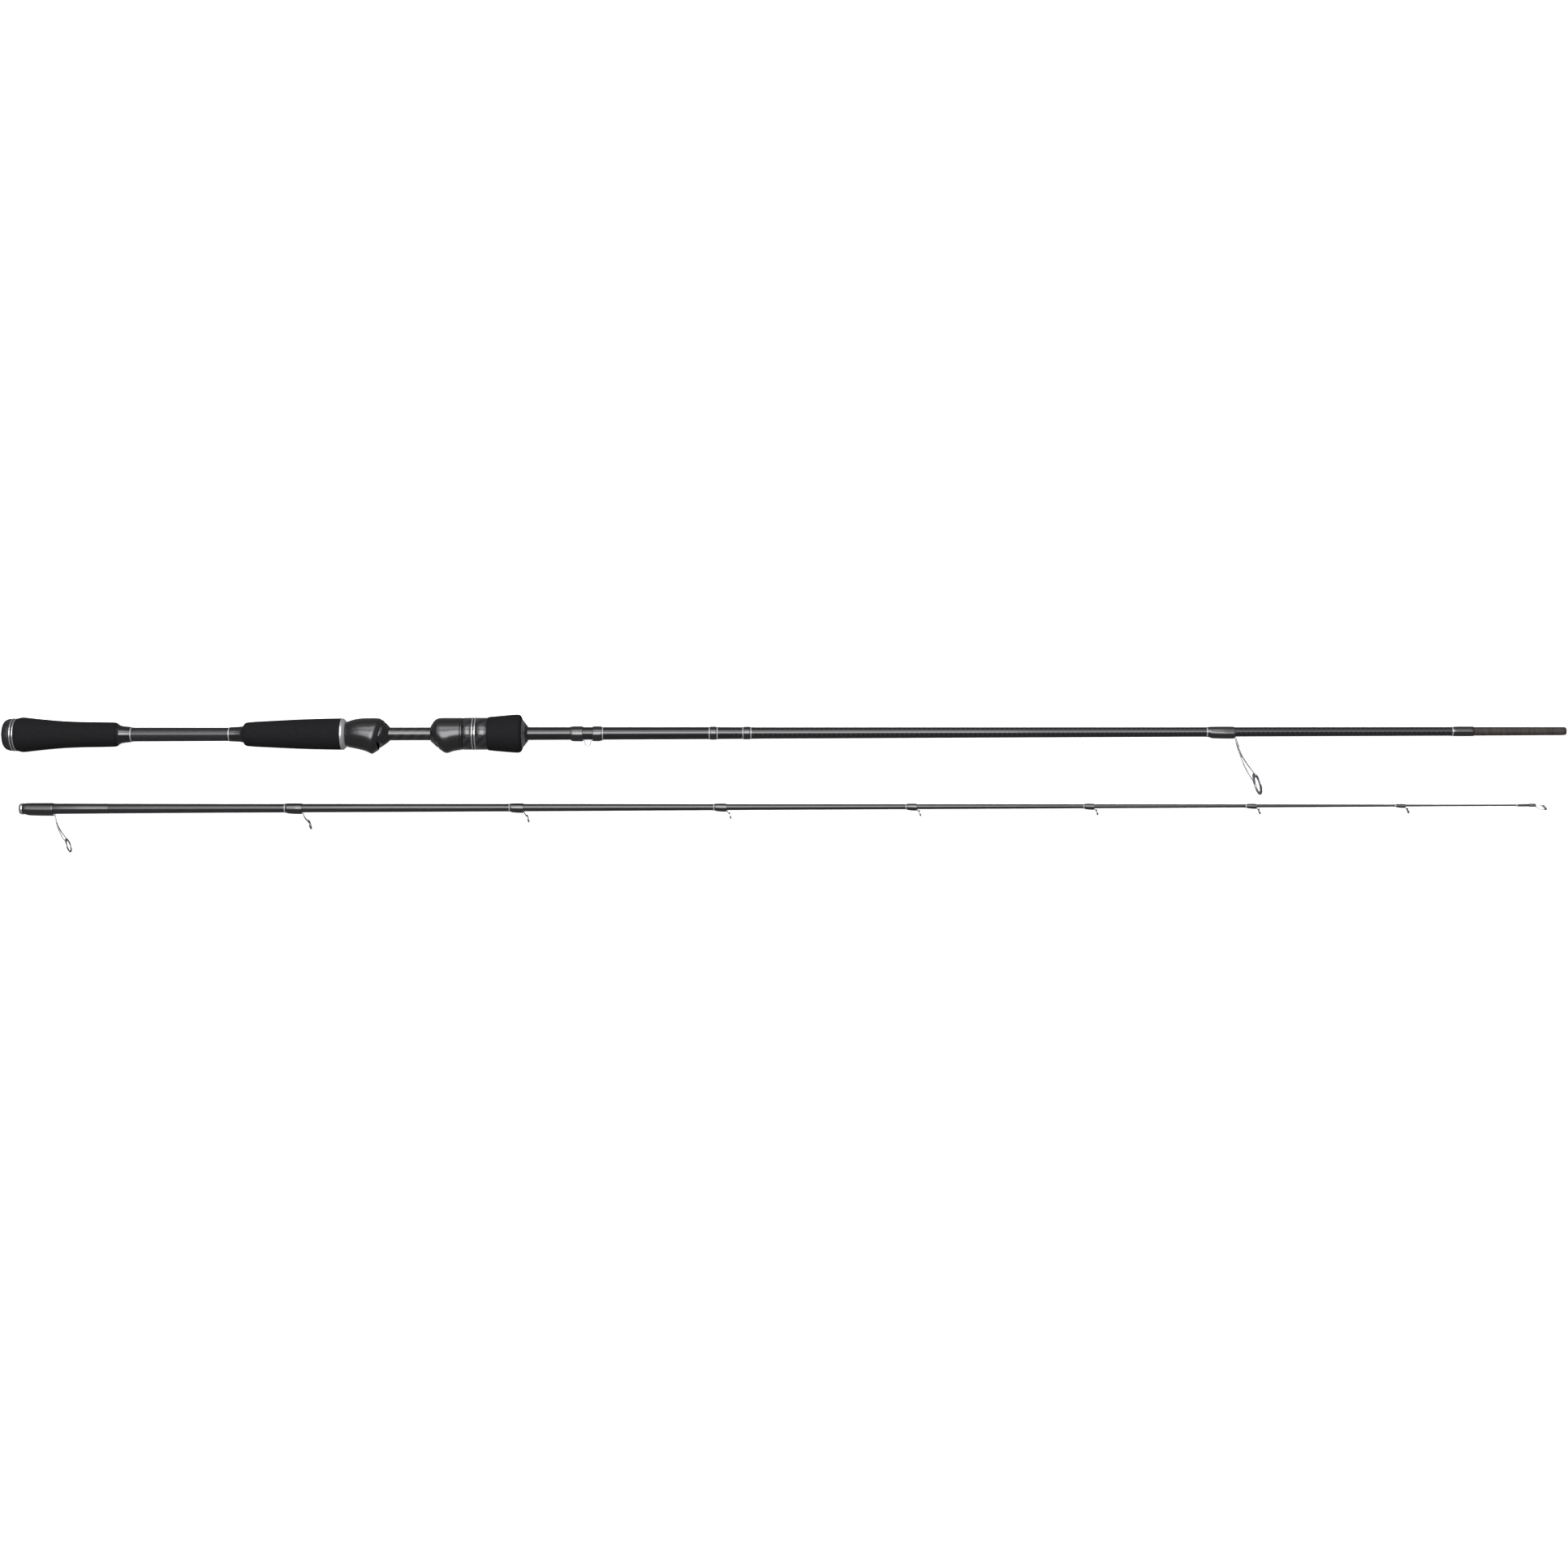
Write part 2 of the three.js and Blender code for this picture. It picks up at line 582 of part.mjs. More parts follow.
// Tip-top: a tube over the end of the blank, two arms and a brace that hold the last ring
function tipTopFrame() {
  const { tube: start, tubeEnd, radius, ringStation, drop, ring } = tipTop;
  const sizes = ringSizes(ring);
  const [blankEnd, blankRadius] = tipBlank.at(-1);
  const bore = blankRadius + faceGap;
  const floor = blankEnd + glueGap * 2;
  const sleeve = turned([
    [start, bore], [start, radius], [tubeEnd, radius], [tubeEnd, 0],
    [floor, 0], [floor, bore], [start, bore],
  ], blankSides);
  const bandSize = [-sizes.depth / 2, sizes.depth / 2, sizes.outer - sizes.band, sizes.outer];
  const band = atRing(bushing(...bandSize, ringSides), ringStation, drop, ringLean * 2);
  const shapes = [sleeve, band];
  for (const side of [-1, 1]) {
    const sideways = side * (sizes.outer + 0.1);
    const end = [ringStation, sideways, -drop + 0.3];
    const armStart = [tubeEnd - 1.2, side * radius * 0.7, 0];
    const middle = [(tubeEnd + ringStation) / 2 - 0.6, sideways * 0.72, 0.1];
    shapes.push(bar([armStart, middle, end], 0.45, 0.45, 3));
  }
  const low = new THREE.Vector3(-sizes.depth * 0.2, 0, -sizes.outer - 0.1);
  low.applyAxisAngle(new THREE.Vector3(0, 1, 0), -ringLean * 2);
  const braceEnd = [ringStation + low.x, 0, low.z - drop];
  shapes.push(bar([[tubeEnd - 1.2, 0, -radius * 0.7], [tubeEnd + 2.2, 0, -2.6], braceEnd], 0.45, 0.45, 3));
  return joined(...shapes);
}

function tipTopRing() {
  return atRing(ceramicInsert(tipTop.ring), tipTop.ringStation, tipTop.drop, ringLean * 2);
}

// ---------------------------------------------------------------- sections

function buttSection() {
  const section = new THREE.Group();
  const pieces = [
    ['butt_blank', 'carbon', buttBlankTube()],
    ['butt_cap', 'rubber', buttCap()],
    ['butt_ring_rear', 'aluminium', capRing(capRings[0])],
    ['butt_ring_front', 'aluminium', capRing(capRings[1])],
    ['rear_grip', 'foam', rearGripFoam()],
    ['rear_grip_check', 'glossBlack', windingCheck(rearCheck, 7.7, 5.72, true)],
    ['mid_grip_check', 'glossBlack', windingCheck(midCheck, 6.3, 5.35, false)],
    ['mid_grip', 'foam', midGripFoam()],
    ['seat_collar', 'aluminium', collar()],
    ['rear_hood', 'graphite', rearHoodBody()],
    ['thread_barrel', 'glossBlack', barrel()],
    ['moving_hood', 'graphite', movingHoodBody()],
  ];
  pieces.forEach(([name, finish, geometry]) => section.add(part(name, finish, geometry)));
  addLockNut(section);
  addKeeper(section);
  trimBands.forEach(({ start, end }, at) => {
    const blank = radiusAt(buttBlank, (start + end) / 2);
    const name = at === 0 ? 'trim_band_rear' : 'trim_band_front';
    const band = bushing(start, end, blank + faceGap, blank + bandHeight, blankSides);
    section.add(part(name, 'glossBlack', band));
  });
  addGuides(section, buttGuides, buttBlank);
  const { start, end } = ferruleWrap;
  const male = radiusAt(buttBlank, start);
  const wrap = bushing(start, end, male + faceGap, male + bandHeight, blankSides);
  section.add(part('ferrule_wrap', 'glossBlack', wrap));
  return section;
}

function tipSection() {
  const section = new THREE.Group();
  section.add(part('female_ferrule', 'carbon', socketTube()));
  section.add(part('tip_blank', 'carbon', tipBlankTube()));
  const mouth = socketShell[0][1];
  const endRing = bushing(0.9, 2.4, mouth + faceGap, mouth + bandHeight, blankSides);
  section.add(part('ferrule_end_ring', 'aluminium', endRing));
  addGuides(section, tipGuides.slice(0, 1), socketShell);
  addGuides(section, tipGuides.slice(1), tipBlank);
  section.add(part('tip_top_frame', 'steel', tipTopFrame()));
  section.add(part('tip_top_ring', 'ceramic', tipTopRing()));
  const thread = tipBlank.at(-1)[1];
  const wrap = bushing(tipTop.wrap, tipTop.tube - faceGap, thread + faceGap, thread + 0.35, blankSides);
  section.add(part('tip_top_wrap', 'glossBlack', wrap));
  return section;
}

// ---------------------------------------------------------------- layout

// Rolls a section about its own axis and sets its lowest point on the floor
function layDown(section, roll, station, across) {
  section.rotation.x = roll;
  section.position.set(station, across, 0);
  section.position.z = -new THREE.Box3().setFromObject(section, true).min.z;
  return section;
}

const rod = new THREE.Group();
rod.add(layDown(buttSection(), buttRoll, 0, axisSpacing));
rod.add(layDown(tipSection(), tipRoll, tipSectionStart, 0));
const middle = new THREE.Box3().setFromObject(rod, true).getCenter(new THREE.Vector3());
rod.position.set(-middle.x, -middle.y, 0);

export default rod;
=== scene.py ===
import json
import bpy
from math import cos, hypot, pi, radians, sin
from mathutils import Matrix, Vector

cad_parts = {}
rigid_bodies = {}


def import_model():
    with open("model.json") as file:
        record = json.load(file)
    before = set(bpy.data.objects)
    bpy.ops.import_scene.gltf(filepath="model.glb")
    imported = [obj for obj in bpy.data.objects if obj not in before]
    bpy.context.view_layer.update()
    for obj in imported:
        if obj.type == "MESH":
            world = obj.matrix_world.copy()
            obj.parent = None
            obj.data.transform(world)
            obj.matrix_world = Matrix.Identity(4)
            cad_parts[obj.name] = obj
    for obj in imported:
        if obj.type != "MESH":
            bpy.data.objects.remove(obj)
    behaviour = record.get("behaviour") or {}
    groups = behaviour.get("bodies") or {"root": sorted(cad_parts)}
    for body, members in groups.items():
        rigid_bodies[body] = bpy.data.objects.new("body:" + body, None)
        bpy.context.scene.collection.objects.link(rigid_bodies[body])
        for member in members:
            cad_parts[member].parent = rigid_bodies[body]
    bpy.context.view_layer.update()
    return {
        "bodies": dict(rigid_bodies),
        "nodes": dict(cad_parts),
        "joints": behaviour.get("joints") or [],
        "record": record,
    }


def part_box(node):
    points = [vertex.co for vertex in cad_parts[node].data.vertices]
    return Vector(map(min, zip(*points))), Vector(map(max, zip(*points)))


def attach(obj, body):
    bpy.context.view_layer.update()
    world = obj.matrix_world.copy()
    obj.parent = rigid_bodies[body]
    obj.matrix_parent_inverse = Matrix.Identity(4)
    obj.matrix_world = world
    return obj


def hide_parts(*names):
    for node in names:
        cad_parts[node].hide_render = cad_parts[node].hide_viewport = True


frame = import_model()
bpy.ops.object.select_all(action="DESELECT")

mm = 0.001  # lengths below are millimetres, stations are counted from a section's butt end


def axisOf(node, startsAt):
    low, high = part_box(node)
    return Vector((low.x - startsAt * mm, (low.y + high.y) / 2, (low.z + high.z) / 2))


# each section is modelled along +X with its guides down, then rolled and laid in its place
buttSection = {"origin": axisOf("butt_blank", 3), "roll": radians(-108)}
tipSection = {"origin": axisOf("female_ferrule", 0), "roll": radians(-90)}

print("materials")


def linear(colour):
    parts = [int(colour[at:at + 2], 16) / 255 for at in (1, 3, 5)]
    return [c / 12.92 if c <= 0.04045 else ((c + 0.055) / 1.055) ** 2.4 for c in parts] + [1]


def put(tree, kind, inputs=None, **settings):
    # adds a node, or takes the one given, with its settings, values and links
    node = tree.nodes.new("ShaderNode" + kind) if isinstance(kind, str) else kind
    for name, value in settings.items():
        setattr(node, name, value)
    for name, value in (inputs or {}).items():
        if isinstance(value, bpy.types.NodeSocket):
            tree.links.new(value, node.inputs[name])
        else:
            node.inputs[name].default_value = value
    return node


def newMaterial(name):
    material = bpy.data.materials.new(name)
    material.use_nodes = True
    return material, material.node_tree, material.node_tree.nodes["Principled BSDF"]


def rodPlace(tree, section):
    # Object coordinates turned into the section's own: X along the rod, Y and Z across it
    place = put(tree, "TexCoord").outputs["Object"]
    turn = {"Vector": place, "Location": section["origin"], "Rotation": (section["roll"], 0, 0)}
    return put(tree, "Mapping", turn, vector_type="TEXTURE").outputs["Vector"]


def unrolled(tree, place, cell, around):
    # station and girth of a tube, counted in cells of a pattern: `around` cells go once round it
    split = put(tree, "SeparateXYZ", {"Vector": place})
    station = put(tree, "Math", {0: split.outputs["X"], 1: 1 / (cell * mm)}, operation="MULTIPLY")
    angle = put(tree, "Math", {0: split.outputs["Y"], 1: split.outputs["Z"]}, operation="ARCTAN2")
    girth = put(tree, "Math", {0: angle.outputs[0], 1: around / (2 * pi)}, operation="MULTIPLY")
    return station.outputs[0], girth.outputs[0]


def speckled(tree, place, size, low, high, detail=2.0, stretch=(1, 1, 1)):
    # two colours in irregular patches about `size` millimetres across
    spread = put(tree, "Mapping", {"Vector": place, "Scale": stretch})
    patches = {"Vector": spread.outputs["Vector"], "Scale": 1 / (size * mm), "Detail": detail}
    noise = put(tree, "TexNoise", patches)
    even = put(tree, "MapRange", {"Value": noise.outputs["Fac"], "From Min": 0.3, "From Max": 0.7})
    # of a Mix node's inputs, 0 is the share, 6 and 7 the colours; of its outputs, 2 is the colour
    colours = {0: even.outputs["Result"], 6: linear(low), 7: linear(high)}
    return put(tree, "Mix", colours, data_type="RGBA").outputs[2], noise.outputs["Fac"]


def twill(tree, place, cell, around):
    # 2 over 2 under: which tow is on top, and how its rounded back stands up
    station, girth = unrolled(tree, place, cell, around)
    lanes = [put(tree, "Math", {0: line}, operation="FLOOR").outputs[0] for line in (station, girth)]
    step = put(tree, "Math", {0: lanes[0], 1: lanes[1]}, operation="SUBTRACT").outputs[0]
    phase = put(tree, "Math", {0: step, 1: 4.0}, operation="FLOORED_MODULO").outputs[0]
    over = put(tree, "Math", {0: phase, 1: 1.5}, operation="GREATER_THAN").outputs[0]
    backs = []
    for line in (station, girth):
        turn = put(tree, "Math", {0: line, 1: pi}, operation="MULTIPLY").outputs[0]
        wave = put(tree, "Math", {0: turn}, operation="SINE").outputs[0]
        backs.append(put(tree, "Math", {0: wave}, operation="ABSOLUTE").outputs[0])
    height = put(tree, "Mix", {0: over, 2: backs[0], 3: backs[1]})
    return over, height.outputs[0]


def evaFoam():
    # closed-cell EVA foam, turned and sanded: matt near-black with a fine dusty grain
    material, tree, shader = newMaterial("sanded EVA foam")
    place = put(tree, "TexCoord").outputs["Object"]
    # real cells are about 0.3 mm; drawn at 1 mm so that the grain shows
    colour, grain = speckled(tree, place, 1.0, "#131214", "#1a191b", 3.0)
    fill = {"Base Color": colour, "Roughness": 0.85, "Specular IOR Level": 0.2, "IOR": 1.45}
    relief = put(tree, "Bump", {"Height": grain, "Strength": 0.35, "Distance": 0.3 * mm})
    put(tree, shader, {**fill, "Normal": relief.outputs["Normal"]})
    return material


def capRubber():
    # moulded thermoplastic rubber: satin dark grey with a soft mottle from handling
    material, tree, shader = newMaterial("moulded rubber")
    place = put(tree, "TexCoord").outputs["Object"]
    colour, grain = speckled(tree, place, 2.5, "#1b191b", "#302c30", 3.0)
    fill = {"Base Color": colour, "Roughness": 0.4, "Specular IOR Level": 0.35}
    relief = put(tree, "Bump", {"Height": grain, "Strength": 0.25, "Distance": 0.3 * mm})
    put(tree, shader, {**fill, "Normal": relief.outputs["Normal"]})
    return material


def blackAnodised(section):
    # black anodised aluminium, turned and dyed: deep gloss with rings of faint tool marks
    material, tree, shader = newMaterial("black anodised aluminium")
    place = rodPlace(tree, section)
    colour, _ = speckled(tree, place, 1.2, "#0e0c10", "#18151a", 2.0, (1, 0.1, 0.1))
    marks = {"Vector": place, "Scale": pi / 10 / (0.5 * mm), "Distortion": 0.4}
    rings = put(tree, "TexWave", marks, bands_direction="X")
    fill = {"Base Color": colour, "Roughness": 0.16, "Coat Weight": 0.6, "Coat Roughness": 0.06}
    relief = put(tree, "Bump", {"Height": rings.outputs["Fac"], "Strength": 0.06, "Distance": 0.1 * mm})
    put(tree, shader, {**fill, "Normal": relief.outputs["Normal"]})
    return material


def turnedAluminium(section, low, high, roughness):
    # aluminium, turned and polished: bright with fine rings round it, brightened further by painted
    # reflection
    material, tree, shader = newMaterial("polished aluminium")
    place = rodPlace(tree, section)
    colour, _ = speckled(tree, place, 0.8, low, high, 2.0, (1, 0.08, 0.08))
    marks = {"Vector": place, "Scale": pi / 10 / (0.3 * mm), "Distortion": 0.2}
    rings = put(tree, "TexWave", marks, bands_direction="X")
    # painted reflection: metallic below 1 lets the pale colour glow diffusely, standing in for the white
    # floor the metal doesn't mirror
    fill = {"Base Color": colour, "Metallic": 0.85, "Roughness": roughness}
    relief = put(tree, "Bump", {"Height": rings.outputs["Fac"], "Strength": 0.08, "Distance": 0.1 * mm})
    put(tree, shader, {**fill, "Normal": relief.outputs["Normal"]})
    return material


def graphiteResin():
    # glass-filled nylon with graphite paint, moulded: satin grey with a broad metallic gleam
    material, tree, shader = newMaterial("graphite resin")
    place = put(tree, "TexCoord").outputs["Object"]
    # real flakes are about 0.1 mm; drawn at 0.5 mm so that the sparkle shows
    colour, grain = speckled(tree, place, 0.5, "#201f21", "#2f2d30", 3.0)
    fill = {"Base Color": colour, "Metallic": 0.6, "Roughness": 0.33, "Coat Weight": 0.8}
    relief = put(tree, "Bump", {"Height": grain, "Strength": 0.12, "Distance": 0.1 * mm})
    put(tree, shader, {**fill, "Coat Roughness": 0.16, "Normal": relief.outputs["Normal"]})
    return material


def wovenCarbon(name, section, cell, around, dull, bright):
    # 2 x 2 twill carbon cloth under clear lacquer: black tows below a wet gloss, with painted sheen: tows of
    # one direction are coloured lighter than those of the other
    material, tree, shader = newMaterial(name)
    place = rodPlace(tree, section)
    over, height = twill(tree, place, cell, around)
    # painted sheen: the two tow colours stand in for how light catches fibres running along the tube and
    # round it
    ramp = put(tree, "ValToRGB", {"Fac": over})
    for end, shade in zip(ramp.color_ramp.elements, (dull, bright)):
        end.color = linear(shade)
    colour = ramp.outputs["Color"]
    fill = {"Base Color": colour, "Metallic": 0.2, "Roughness": 0.34, "Coat Weight": 1.0}
    ripple = put(tree, "Bump", {"Height": height, "Strength": 0.05, "Distance": 0.1 * mm})
    fill.update({"Coat Roughness": 0.07, "Coat Normal": ripple.outputs["Normal"]})
    relief = put(tree, "Bump", {"Height": height, "Strength": 0.3, "Distance": 0.15 * mm})
    put(tree, shader, {**fill, "Normal": relief.outputs["Normal"]})
    return material


def crossWrapped(section):
    # carbon tape wound both ways round the blank, lacquered: faint diamonds under the gloss
    material, tree, shader = newMaterial("cross-wrapped carbon")
    place = rodPlace(tree, section)
    station, girth = unrolled(tree, place, 3.6, 3)
    tapes = []
    for way in (1.0, -1.0):
        lean = put(tree, "Math", {0: girth, 1: way}, operation="MULTIPLY").outputs[0]
        helix = put(tree, "Math", {0: station, 1: lean}, operation="ADD").outputs[0]
        part = put(tree, "Math", {0: helix}, operation="FRACT").outputs[0]
        tapes.append(put(tree, "Math", {0: part, 1: 0.5}, operation="GREATER_THAN").outputs[0])
    both = put(tree, "Math", {0: tapes[0], 1: tapes[1]}, operation="ADD").outputs[0]
    share = put(tree, "Math", {0: both, 1: 0.5}, operation="MULTIPLY").outputs[0]
    ramp = put(tree, "ValToRGB", {"Fac": share})
    for end, shade in zip(ramp.color_ramp.elements, ("#0d0c0e", "#201e22")):
        end.color = linear(shade)
    colour = ramp.outputs["Color"]
    fill = {"Base Color": colour, "Roughness": 0.4, "Specular IOR Level": 0.15, "Coat Weight": 1.0}
    ripple = put(tree, "Bump", {"Height": share, "Strength": 0.12, "Distance": 0.1 * mm})
    fill.update({"Coat Roughness": 0.09, "Coat Normal": ripple.outputs["Normal"]})
    relief = put(tree, "Bump", {"Height": share, "Strength": 0.4, "Distance": 0.08 * mm})
    put(tree, shader, {**fill, "Normal": relief.outputs["Normal"]})
    return material


def blackLacquer(section):
    # clear lacquer over a black ground blank: plain deep gloss with the least ripple
    material, tree, shader = newMaterial("black lacquer")
    place = rodPlace(tree, section)
    colour, grain = speckled(tree, place, 2.0, "#0f0e11", "#1a181c", 2.0, (0.15, 1, 1))
    fill = {"Base Color": colour, "Roughness": 0.35, "Specular IOR Level": 0.15, "Coat Weight": 1.0}
    fill["Coat Roughness"] = 0.08
    ripple = put(tree, "Bump", {"Height": grain, "Strength": 0.05, "Distance": 0.1 * mm})
    put(tree, shader, {**fill, "Coat Normal": ripple.outputs["Normal"]})
    return material


def satinCarbon(name, section, low, high, roughness, coat, streak=0.04):
    # unidirectional carbon, centreless ground and thinly coated: grey streaks along a soft sheen
    material, tree, shader = newMaterial(name)
    place = rodPlace(tree, section)
    colour, grain = speckled(tree, place, 0.9, low, high, 3.0, (streak, 1, 1))
    fill = {"Base Color": colour, "Roughness": roughness, "Specular IOR Level": 0.25}
    fill.update({"Coat Weight": coat, "Coat Roughness": 0.12})
    relief = put(tree, "Bump", {"Height": grain, "Strength": 0.3, "Distance": 0.08 * mm})
    put(tree, shader, {**fill, "Normal": relief.outputs["Normal"]})
    return material


def groundCarbon(section):
    # bare ground carbon of the joint: matt, slightly brown, with rings of grinding marks
    material, tree, shader = newMaterial("ground carbon")
    place = rodPlace(tree, section)
    colour, grain = speckled(tree, place, 1.5, "#2b2725", "#3d3835", 3.0, (1, 0.2, 0.2))
    fill = {"Base Color": colour, "Roughness": 0.62, "Specular IOR Level": 0.45}
    relief = put(tree, "Bump", {"Height": grain, "Strength": 0.3, "Distance": 0.1 * mm})
    put(tree, shader, {**fill, "Normal": relief.outputs["Normal"]})
    return material


def threadUnderEpoxy(section):
    # black nylon thread wound close and flooded with clear epoxy: ribbed black in thick glass
    material, tree, shader = newMaterial("thread under epoxy")
    place = rodPlace(tree, section)
    # real thread is 0.15 mm; drawn at 0.5 mm so that the winding shows
    turns = {"Vector": place, "Scale": pi / 10 / (0.5 * mm), "Distortion": 0.6, "Detail Scale": 2.0}
    thread = put(tree, "TexWave", turns, bands_direction="X").outputs["Fac"]
    ramp = put(tree, "ValToRGB", {"Fac": thread})
    for end, shade in zip(ramp.color_ramp.elements, ("#09080b", "#1b191e")):
        end.color = linear(shade)
    colour = ramp.outputs["Color"]
    fill = {"Base Color": colour, "Roughness": 0.3, "Coat Weight": 1.0, "Coat Roughness": 0.04}
    relief = put(tree, "Bump", {"Height": thread, "Strength": 0.4, "Distance": 0.08 * mm})
    put(tree, shader, {**fill, "Coat IOR": 1.58, "Normal": relief.outputs["Normal"]})
    return material


def silverThread(section):
    # metallised polyester thread, wound as a trim ring: bright silver in close ribs
    material, tree, shader = newMaterial("silver thread")
    place = rodPlace(tree, section)
    turns = {"Vector": place, "Scale": pi / 10 / (0.35 * mm)}
    thread = put(tree, "TexWave", turns, bands_direction="X").outputs["Fac"]
    ramp = put(tree, "ValToRGB", {"Fac": thread})
    for end, shade in zip(ramp.color_ramp.elements, ("#c0c0c6", "#ececf0")):
        end.color = linear(shade)
    colour = ramp.outputs["Color"]
    # metallic below 1 lets the near-white colour glow diffusely: partly the thread's own scatter, partly
    # painted reflection standing in for the white floor it doesn't mirror
    fill = {"Base Color": colour, "Metallic": 0.75, "Roughness": 0.32}
    relief = put(tree, "Bump", {"Height": thread, "Strength": 0.3, "Distance": 0.1 * mm})
    put(tree, shader, {**fill, "Normal": relief.outputs["Normal"]})
    return material


def bentSteel(name, low, high, roughness):
    # stainless wire and sheet, bent, welded and tumbled: smooth metal with small ripples
    material, tree, shader = newMaterial(name)
    place = put(tree, "TexCoord").outputs["Object"]
    colour, grain = speckled(tree, place, 1.5, low, high)
    fill = {"Base Color": colour, "Metallic": 1.0, "Roughness": roughness}
    relief = put(tree, "Bump", {"Height": grain, "Strength": 0.1, "Distance": 0.2 * mm})
    put(tree, shader, {**fill, "Normal": relief.outputs["Normal"]})
    return material


def polishedCeramic():
    # silicon carbide, sintered and polished: dark grey, glassy, with a trace of grain
    material, tree, shader = newMaterial("polished ceramic")
    place = put(tree, "TexCoord").outputs["Object"]
    colour, grain = speckled(tree, place, 0.4, "#707176", "#9c9da2")
    fill = {"Base Color": colour, "Metallic": 0.5, "Roughness": 0.16, "IOR": 2.2}
    relief = put(tree, "Bump", {"Height": grain, "Strength": 0.05, "Distance": 0.05 * mm})
    put(tree, shader, {**fill, "Normal": relief.outputs["Normal"]})
    return material


foam = evaFoam()
rubber = capRubber()
anodised = blackAnodised(buttSection)
aluminium = turnedAluminium(buttSection, "#c8c8cc", "#dededf", 0.26)
collarAluminium = turnedAluminium(buttSection, "#c6c6cb", "#e6e6e9", 0.36)
tipAluminium = turnedAluminium(tipSection, "#c8c8cc", "#dededf", 0.26)
graphite = graphiteResin()
sleeveWeave = wovenCarbon("twill carbon sleeve", buttSection, 1.9, 40, "#100f11", "#29272b")
seatWeave = wovenCarbon("twill carbon blank", buttSection, 1.9, 16, "#111012", "#232225")
diamondCarbon = crossWrapped(buttSection)
lacquer = blackLacquer(buttSection)
gripCarbon = satinCarbon("satin carbon", buttSection, "#1a191c", "#2c2a2e", 0.36, 0.6, 0.5)
spigotCarbon = groundCarbon(buttSection)
tipCarbon = satinCarbon("streaked carbon", tipSection, "#161518", "#28262a", 0.34, 0.9)
buttThread = threadUnderEpoxy(buttSection)
tipThread = threadUnderEpoxy(tipSection)
buttSilver = silverThread(buttSection)
tipSilver = silverThread(tipSection)
darkSteel = bentSteel("gunmetal steel", "#8c8c92", "#b0b0b6", 0.24)
steel = bentSteel("polished stainless steel", "#a2a2a8", "#c9c9ce", 0.2)
ceramic = polishedCeramic()

print("tools")


def solo(piece):
    bpy.ops.object.select_all(action="DESELECT")
    piece.select_set(True)
    bpy.context.view_layer.objects.active = piece


def settle(piece):
    # writes the piece's place, turn and size into its mesh
    solo(piece)
    bpy.ops.object.transform_apply(location=True, rotation=True, scale=True)


def applyAll(piece):
    solo(piece)
    for modifier in list(piece.modifiers):
        bpy.ops.object.modifier_apply(modifier=modifier.name)


def softenEdges(piece, width, angle=35, segments=2):
    edge = piece.modifiers.new("softened edges", "BEVEL")
    edge.width = width * mm
    edge.segments = segments
    edge.limit_method = "ANGLE"
    edge.angle_limit = radians(angle)
    edge.harden_normals = False
    applyAll(piece)


def smoothShade(piece, angle=40):
    solo(piece)
    bpy.ops.object.shade_smooth_by_angle(angle=radians(angle))


def joinPieces(name, pieces):
    bpy.ops.object.select_all(action="DESELECT")
    for piece in pieces:
        piece.select_set(True)
    bpy.context.view_layer.objects.active = pieces[0]
    if len(pieces) > 1:
        bpy.ops.object.join()
    pieces[0].name = name
    return pieces[0]


def smoothLine(points, steps=5):
    # a smooth outline through a few points of any number of values
    ends = [points[0], *points, points[-1]]
    line = []
    for at in range(1, len(ends) - 2):
        before, start, end, after = ends[at - 1:at + 3]
        for step in range(steps):
            t = step / steps
            line.append([
                0.5 * (2 * b + (c - a) * t + (2 * a - 5 * b + 4 * c - d) * t * t
                       + (3 * b - a - 3 * c + d) * t ** 3)
                for a, b, c, d in zip(before, start, end, after)
            ])
    return [*line, list(points[-1])]


def turnPiece(name, outline, sides=64):
    # draws an outline of [station, radius] points and spins it round the rod's axis
    bpy.ops.object.select_all(action="DESELECT")
    bpy.ops.mesh.primitive_plane_add(size=mm)
    piece = bpy.context.object
    piece.name = name
    bpy.ops.object.mode_set(mode="EDIT")
    bpy.ops.mesh.merge(type="CENTER")
    bpy.ops.transform.translate(value=(outline[0][0] * mm, 0, outline[0][1] * mm))
    for (startX, startR), (endX, endR) in zip(outline, outline[1:]):
        step = ((endX - startX) * mm, 0, (endR - startR) * mm)
        bpy.ops.mesh.extrude_vertices_move(TRANSFORM_OT_translate={"value": step})
    bpy.ops.mesh.select_all(action="SELECT")
    bpy.ops.mesh.spin(steps=sides, angle=2 * pi, center=(0, 0, 0), axis=(1, 0, 0))
    bpy.ops.mesh.select_all(action="SELECT")
    bpy.ops.mesh.remove_doubles(threshold=0.002 * mm)
    bpy.ops.mesh.normals_make_consistent(inside=False)
    bpy.ops.object.mode_set(mode="OBJECT")
    return piece


def turnTube(name, outer, inner, sides=64):
    # a turned piece with a bore; both outlines run from rear to front
    return turnPiece(name, [*outer, *reversed(inner), outer[0]], sides)


def lobed(piece, rows, sharpness, sweep=None):
    # draws the guide side of each ring out to its own radius, and its station back in a sweep
    for vertex in piece.data.vertices:
        x, y, z = vertex.co / mm
        radius = hypot(y, z)
        row = min(rows, key=lambda r: abs(r[0] - x) + abs(r[1] - radius))
        if abs(row[0] - x) + abs(row[1] - radius) > 0.004 or radius < 0.1:
            continue
        weight = max(0, -z / radius) ** sharpness
        newRadius = row[1] + (row[3] - row[1]) * weight
        swept = weight if sweep is None else ((1 - z / radius) / 2) ** sweep
        newX = row[0] + (row[2] - row[0]) * swept
        vertex.co = Vector((newX, y / radius * newRadius, z / radius * newRadius)) * mm
    return piece


